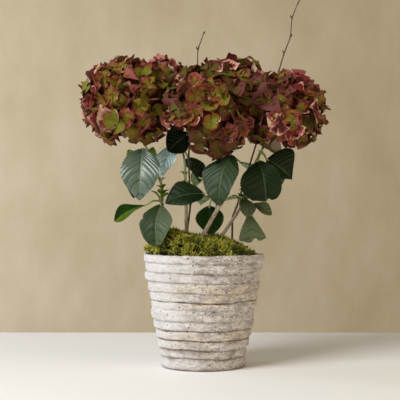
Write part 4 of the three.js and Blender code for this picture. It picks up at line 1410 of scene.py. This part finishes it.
def build_stage(look):
    """A pale table, a warm linen backdrop, soft light from the left, and the camera."""
    scene = bpy.context.scene
    scene.view_settings.view_transform = "Standard"
    table = add_sheet("table_top", (0, -0.38, 0), 3.0, 1.64)
    bpy.ops.mesh.extrude_region_move(TRANSFORM_OT_translate={"value": (0, 0, -0.03)})
    bpy.ops.mesh.select_all(action="SELECT")
    bpy.ops.mesh.normals_make_consistent(inside=False)
    bpy.ops.object.mode_set(mode="OBJECT")
    # Painted wood: smooth, with a dull even surface.
    top = grained("painted table top", look.table, 0.6, (0.02, 0.05, 0.0003, 1))
    table.data.materials.append(top)

    middle = (0, 2.7, 0.6)
    linen = add_sheet("linen_backdrop", middle, 3.4, 1)
    bpy.ops.transform.rotate(value=math.pi / 2, orient_axis="X", center_override=middle)
    bpy.ops.transform.resize(value=(1, 1, 3), center_override=middle)
    bpy.ops.object.mode_set(mode="OBJECT")
    # Woven linen, hung loose: no gloss, and wide soft folds.
    tints = mixed(look.backdrop, BLACK, 0.12), mixed(look.backdrop, WHITE, 0.06)
    cloth = grained("plain linen", look.backdrop, 0.9, (0.3, 0.35, 0.02, 0.6), tints, (0.35, 0.65))
    linen.data.materials.append(cloth)

    world = bpy.data.worlds.new("pale room")
    world.use_nodes = True
    background = world.node_tree.nodes["Background"]
    background.inputs[0].default_value = (0.82, 0.70, 0.51, 1)
    background.inputs[1].default_value = 0.3
    scene.world = world

    add_light("window", (-1.3, -1.4, 1.55), (0, 0, 0.3), (1.1, 1.6), 59, (0.95, 0.98, 1.0))
    add_light("room", (1.6, -1.2, 0.6), (0, 0, 0.25), (1.4, 1.4), 13.5, (1.0, 0.83, 0.62))
    add_light("wall wash", (-2.6, 1.0, 0.35), (-0.5, 2.7, 0.3), (1.0, 1.0), 68, (0.7, 0.81, 1.0))

    eye = bpy.data.cameras.new("camera")
    eye.sensor_fit, eye.sensor_width, eye.lens = "HORIZONTAL", 36, 99
    camera = bpy.data.objects.new("camera", eye)
    camera.location = (-0.0064, -look.eye_distance, look.eye_height)
    camera.rotation_euler = (math.pi / 2, 0, 0)
    scene.collection.objects.link(camera)
    scene.camera = camera


def add_light(name, place, target, size, power, colour):
    """A soft light of a width and height that faces its target."""
    lamp = bpy.data.lights.new(name, "AREA")
    lamp.shape, lamp.energy, lamp.color = "RECTANGLE", power, colour
    lamp.size, lamp.size_y = size
    light = bpy.data.objects.new(name, lamp)
    light.location = place
    light.visible_camera = False
    light.rotation_euler = (Vector(target) - Vector(place)).to_track_quat("-Z", "Y").to_euler()
    bpy.context.scene.collection.objects.link(light)


# ------------------------------------------------------------------ operators and panel
class HYDRANGEA_OT_stage(bpy.types.Operator):
    """Set up the table, backdrop, lights and camera"""

    bl_idname = "hydrangea.stage"
    bl_label = "Stage"

    def execute(self, context):
        build_stage(context.scene.hydrangea_stage)
        return {"FINISHED"}


class HYDRANGEA_OT_pot(bpy.types.Operator):
    """Throw the ridged clay pot and limewash it"""

    bl_idname = "hydrangea.pot"
    bl_label = "Limewashed pot"

    def execute(self, context):
        build_pot(context.scene.hydrangea_pot)
        return {"FINISHED"}


class HYDRANGEA_OT_soil(bpy.types.Operator):
    """Give the soil in the pot its crumbly finish"""

    bl_idname = "hydrangea.soil"
    bl_label = "Potting soil"

    def execute(self, context):
        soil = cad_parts["soil"]
        material = potting_soil()
        for slot in soil.material_slots:
            slot.material = material
        return {"FINISHED"}


class HYDRANGEA_OT_moss(bpy.types.Operator):
    """Lay the mound of cushion moss"""

    bl_idname = "hydrangea.moss"
    bl_label = "Moss"

    def execute(self, context):
        build_moss(context.scene.hydrangea_moss)
        return {"FINISHED"}


class HYDRANGEA_OT_canes(bpy.types.Operator):
    """Grow the brown canes out of the soil"""

    bl_idname = "hydrangea.canes"
    bl_label = "Canes"

    def execute(self, context):
        build_canes(context.scene.hydrangea_wood)
        return {"FINISHED"}


class HYDRANGEA_OT_bare_shoots(bpy.types.Operator):
    """Grow the two dead shoots above the blooms"""

    bl_idname = "hydrangea.bare_shoots"
    bl_label = "Bare shoots"

    def execute(self, context):
        build_bare_shoots(context.scene.hydrangea_wood)
        return {"FINISHED"}


class HYDRANGEA_OT_green_shoots(bpy.types.Operator):
    """Grow the green shoots and leaf stalks"""

    bl_idname = "hydrangea.green_shoots"
    bl_label = "Green shoots"

    def execute(self, context):
        build_green_shoots(context.scene.hydrangea_wood)
        return {"FINISHED"}


class HYDRANGEA_OT_leaves(bpy.types.Operator):
    """Hang the leaves on their stalks"""

    bl_idname = "hydrangea.leaves"
    bl_label = "Leaves"

    def execute(self, context):
        build_leaves(context.scene.hydrangea_leaf)
        return {"FINISHED"}


class HYDRANGEA_OT_blooms(bpy.types.Operator):
    """Open the five mophead blooms"""

    bl_idname = "hydrangea.blooms"
    bl_label = "Blooms"

    def execute(self, context):
        look = context.scene.hydrangea_bloom
        palette = bloom_palette(look)
        for name in BLOOMS:
            build_bloom(name, look, palette)
        return {"FINISHED"}


OPERATORS = [
    HYDRANGEA_OT_stage, HYDRANGEA_OT_pot, HYDRANGEA_OT_soil, HYDRANGEA_OT_moss, HYDRANGEA_OT_canes,
    HYDRANGEA_OT_bare_shoots, HYDRANGEA_OT_green_shoots, HYDRANGEA_OT_leaves, HYDRANGEA_OT_blooms,
]
SETTINGS = {
    "hydrangea_pot": PotSettings, "hydrangea_moss": MossSettings,
    "hydrangea_wood": WoodSettings, "hydrangea_leaf": LeafSettings,
    "hydrangea_bloom": BloomSettings, "hydrangea_stage": StageSettings,
}


class HYDRANGEA_PT_panel(bpy.types.Panel):
    """Steps and settings of the potted hydrangea"""

    bl_idname = "HYDRANGEA_PT_panel"
    bl_label = "Potted Hydrangea"
    bl_space_type = "VIEW_3D"
    bl_region_type = "UI"
    bl_category = "Hydrangea"

    def draw(self, context):
        for operator in OPERATORS:
            self.layout.operator(operator.bl_idname)
        for name, group in SETTINGS.items():
            box = self.layout.box()
            for setting in group.__annotations__:
                box.prop(getattr(context.scene, name), setting)


def register():
    for group in SETTINGS.values():
        bpy.utils.register_class(group)
    for name, group in SETTINGS.items():
        setattr(bpy.types.Scene, name, bpy.props.PointerProperty(type=group))
    for operator in [*OPERATORS, HYDRANGEA_PT_panel]:
        bpy.utils.register_class(operator)


def unregister():
    for operator in [HYDRANGEA_PT_panel, *reversed(OPERATORS)]:
        bpy.utils.unregister_class(operator)
    for name, group in SETTINGS.items():
        delattr(bpy.types.Scene, name)
        bpy.utils.unregister_class(group)


def main():
    """Builds every piece in order."""
    register()
    bpy.ops.hydrangea.stage()
    bpy.ops.hydrangea.pot()
    bpy.ops.hydrangea.soil()
    bpy.ops.hydrangea.moss()
    bpy.ops.hydrangea.canes()
    bpy.ops.hydrangea.bare_shoots()
    bpy.ops.hydrangea.green_shoots()
    bpy.ops.hydrangea.leaves()
    bpy.ops.hydrangea.blooms()
    deselect()


if __name__ == "__main__":
    main()
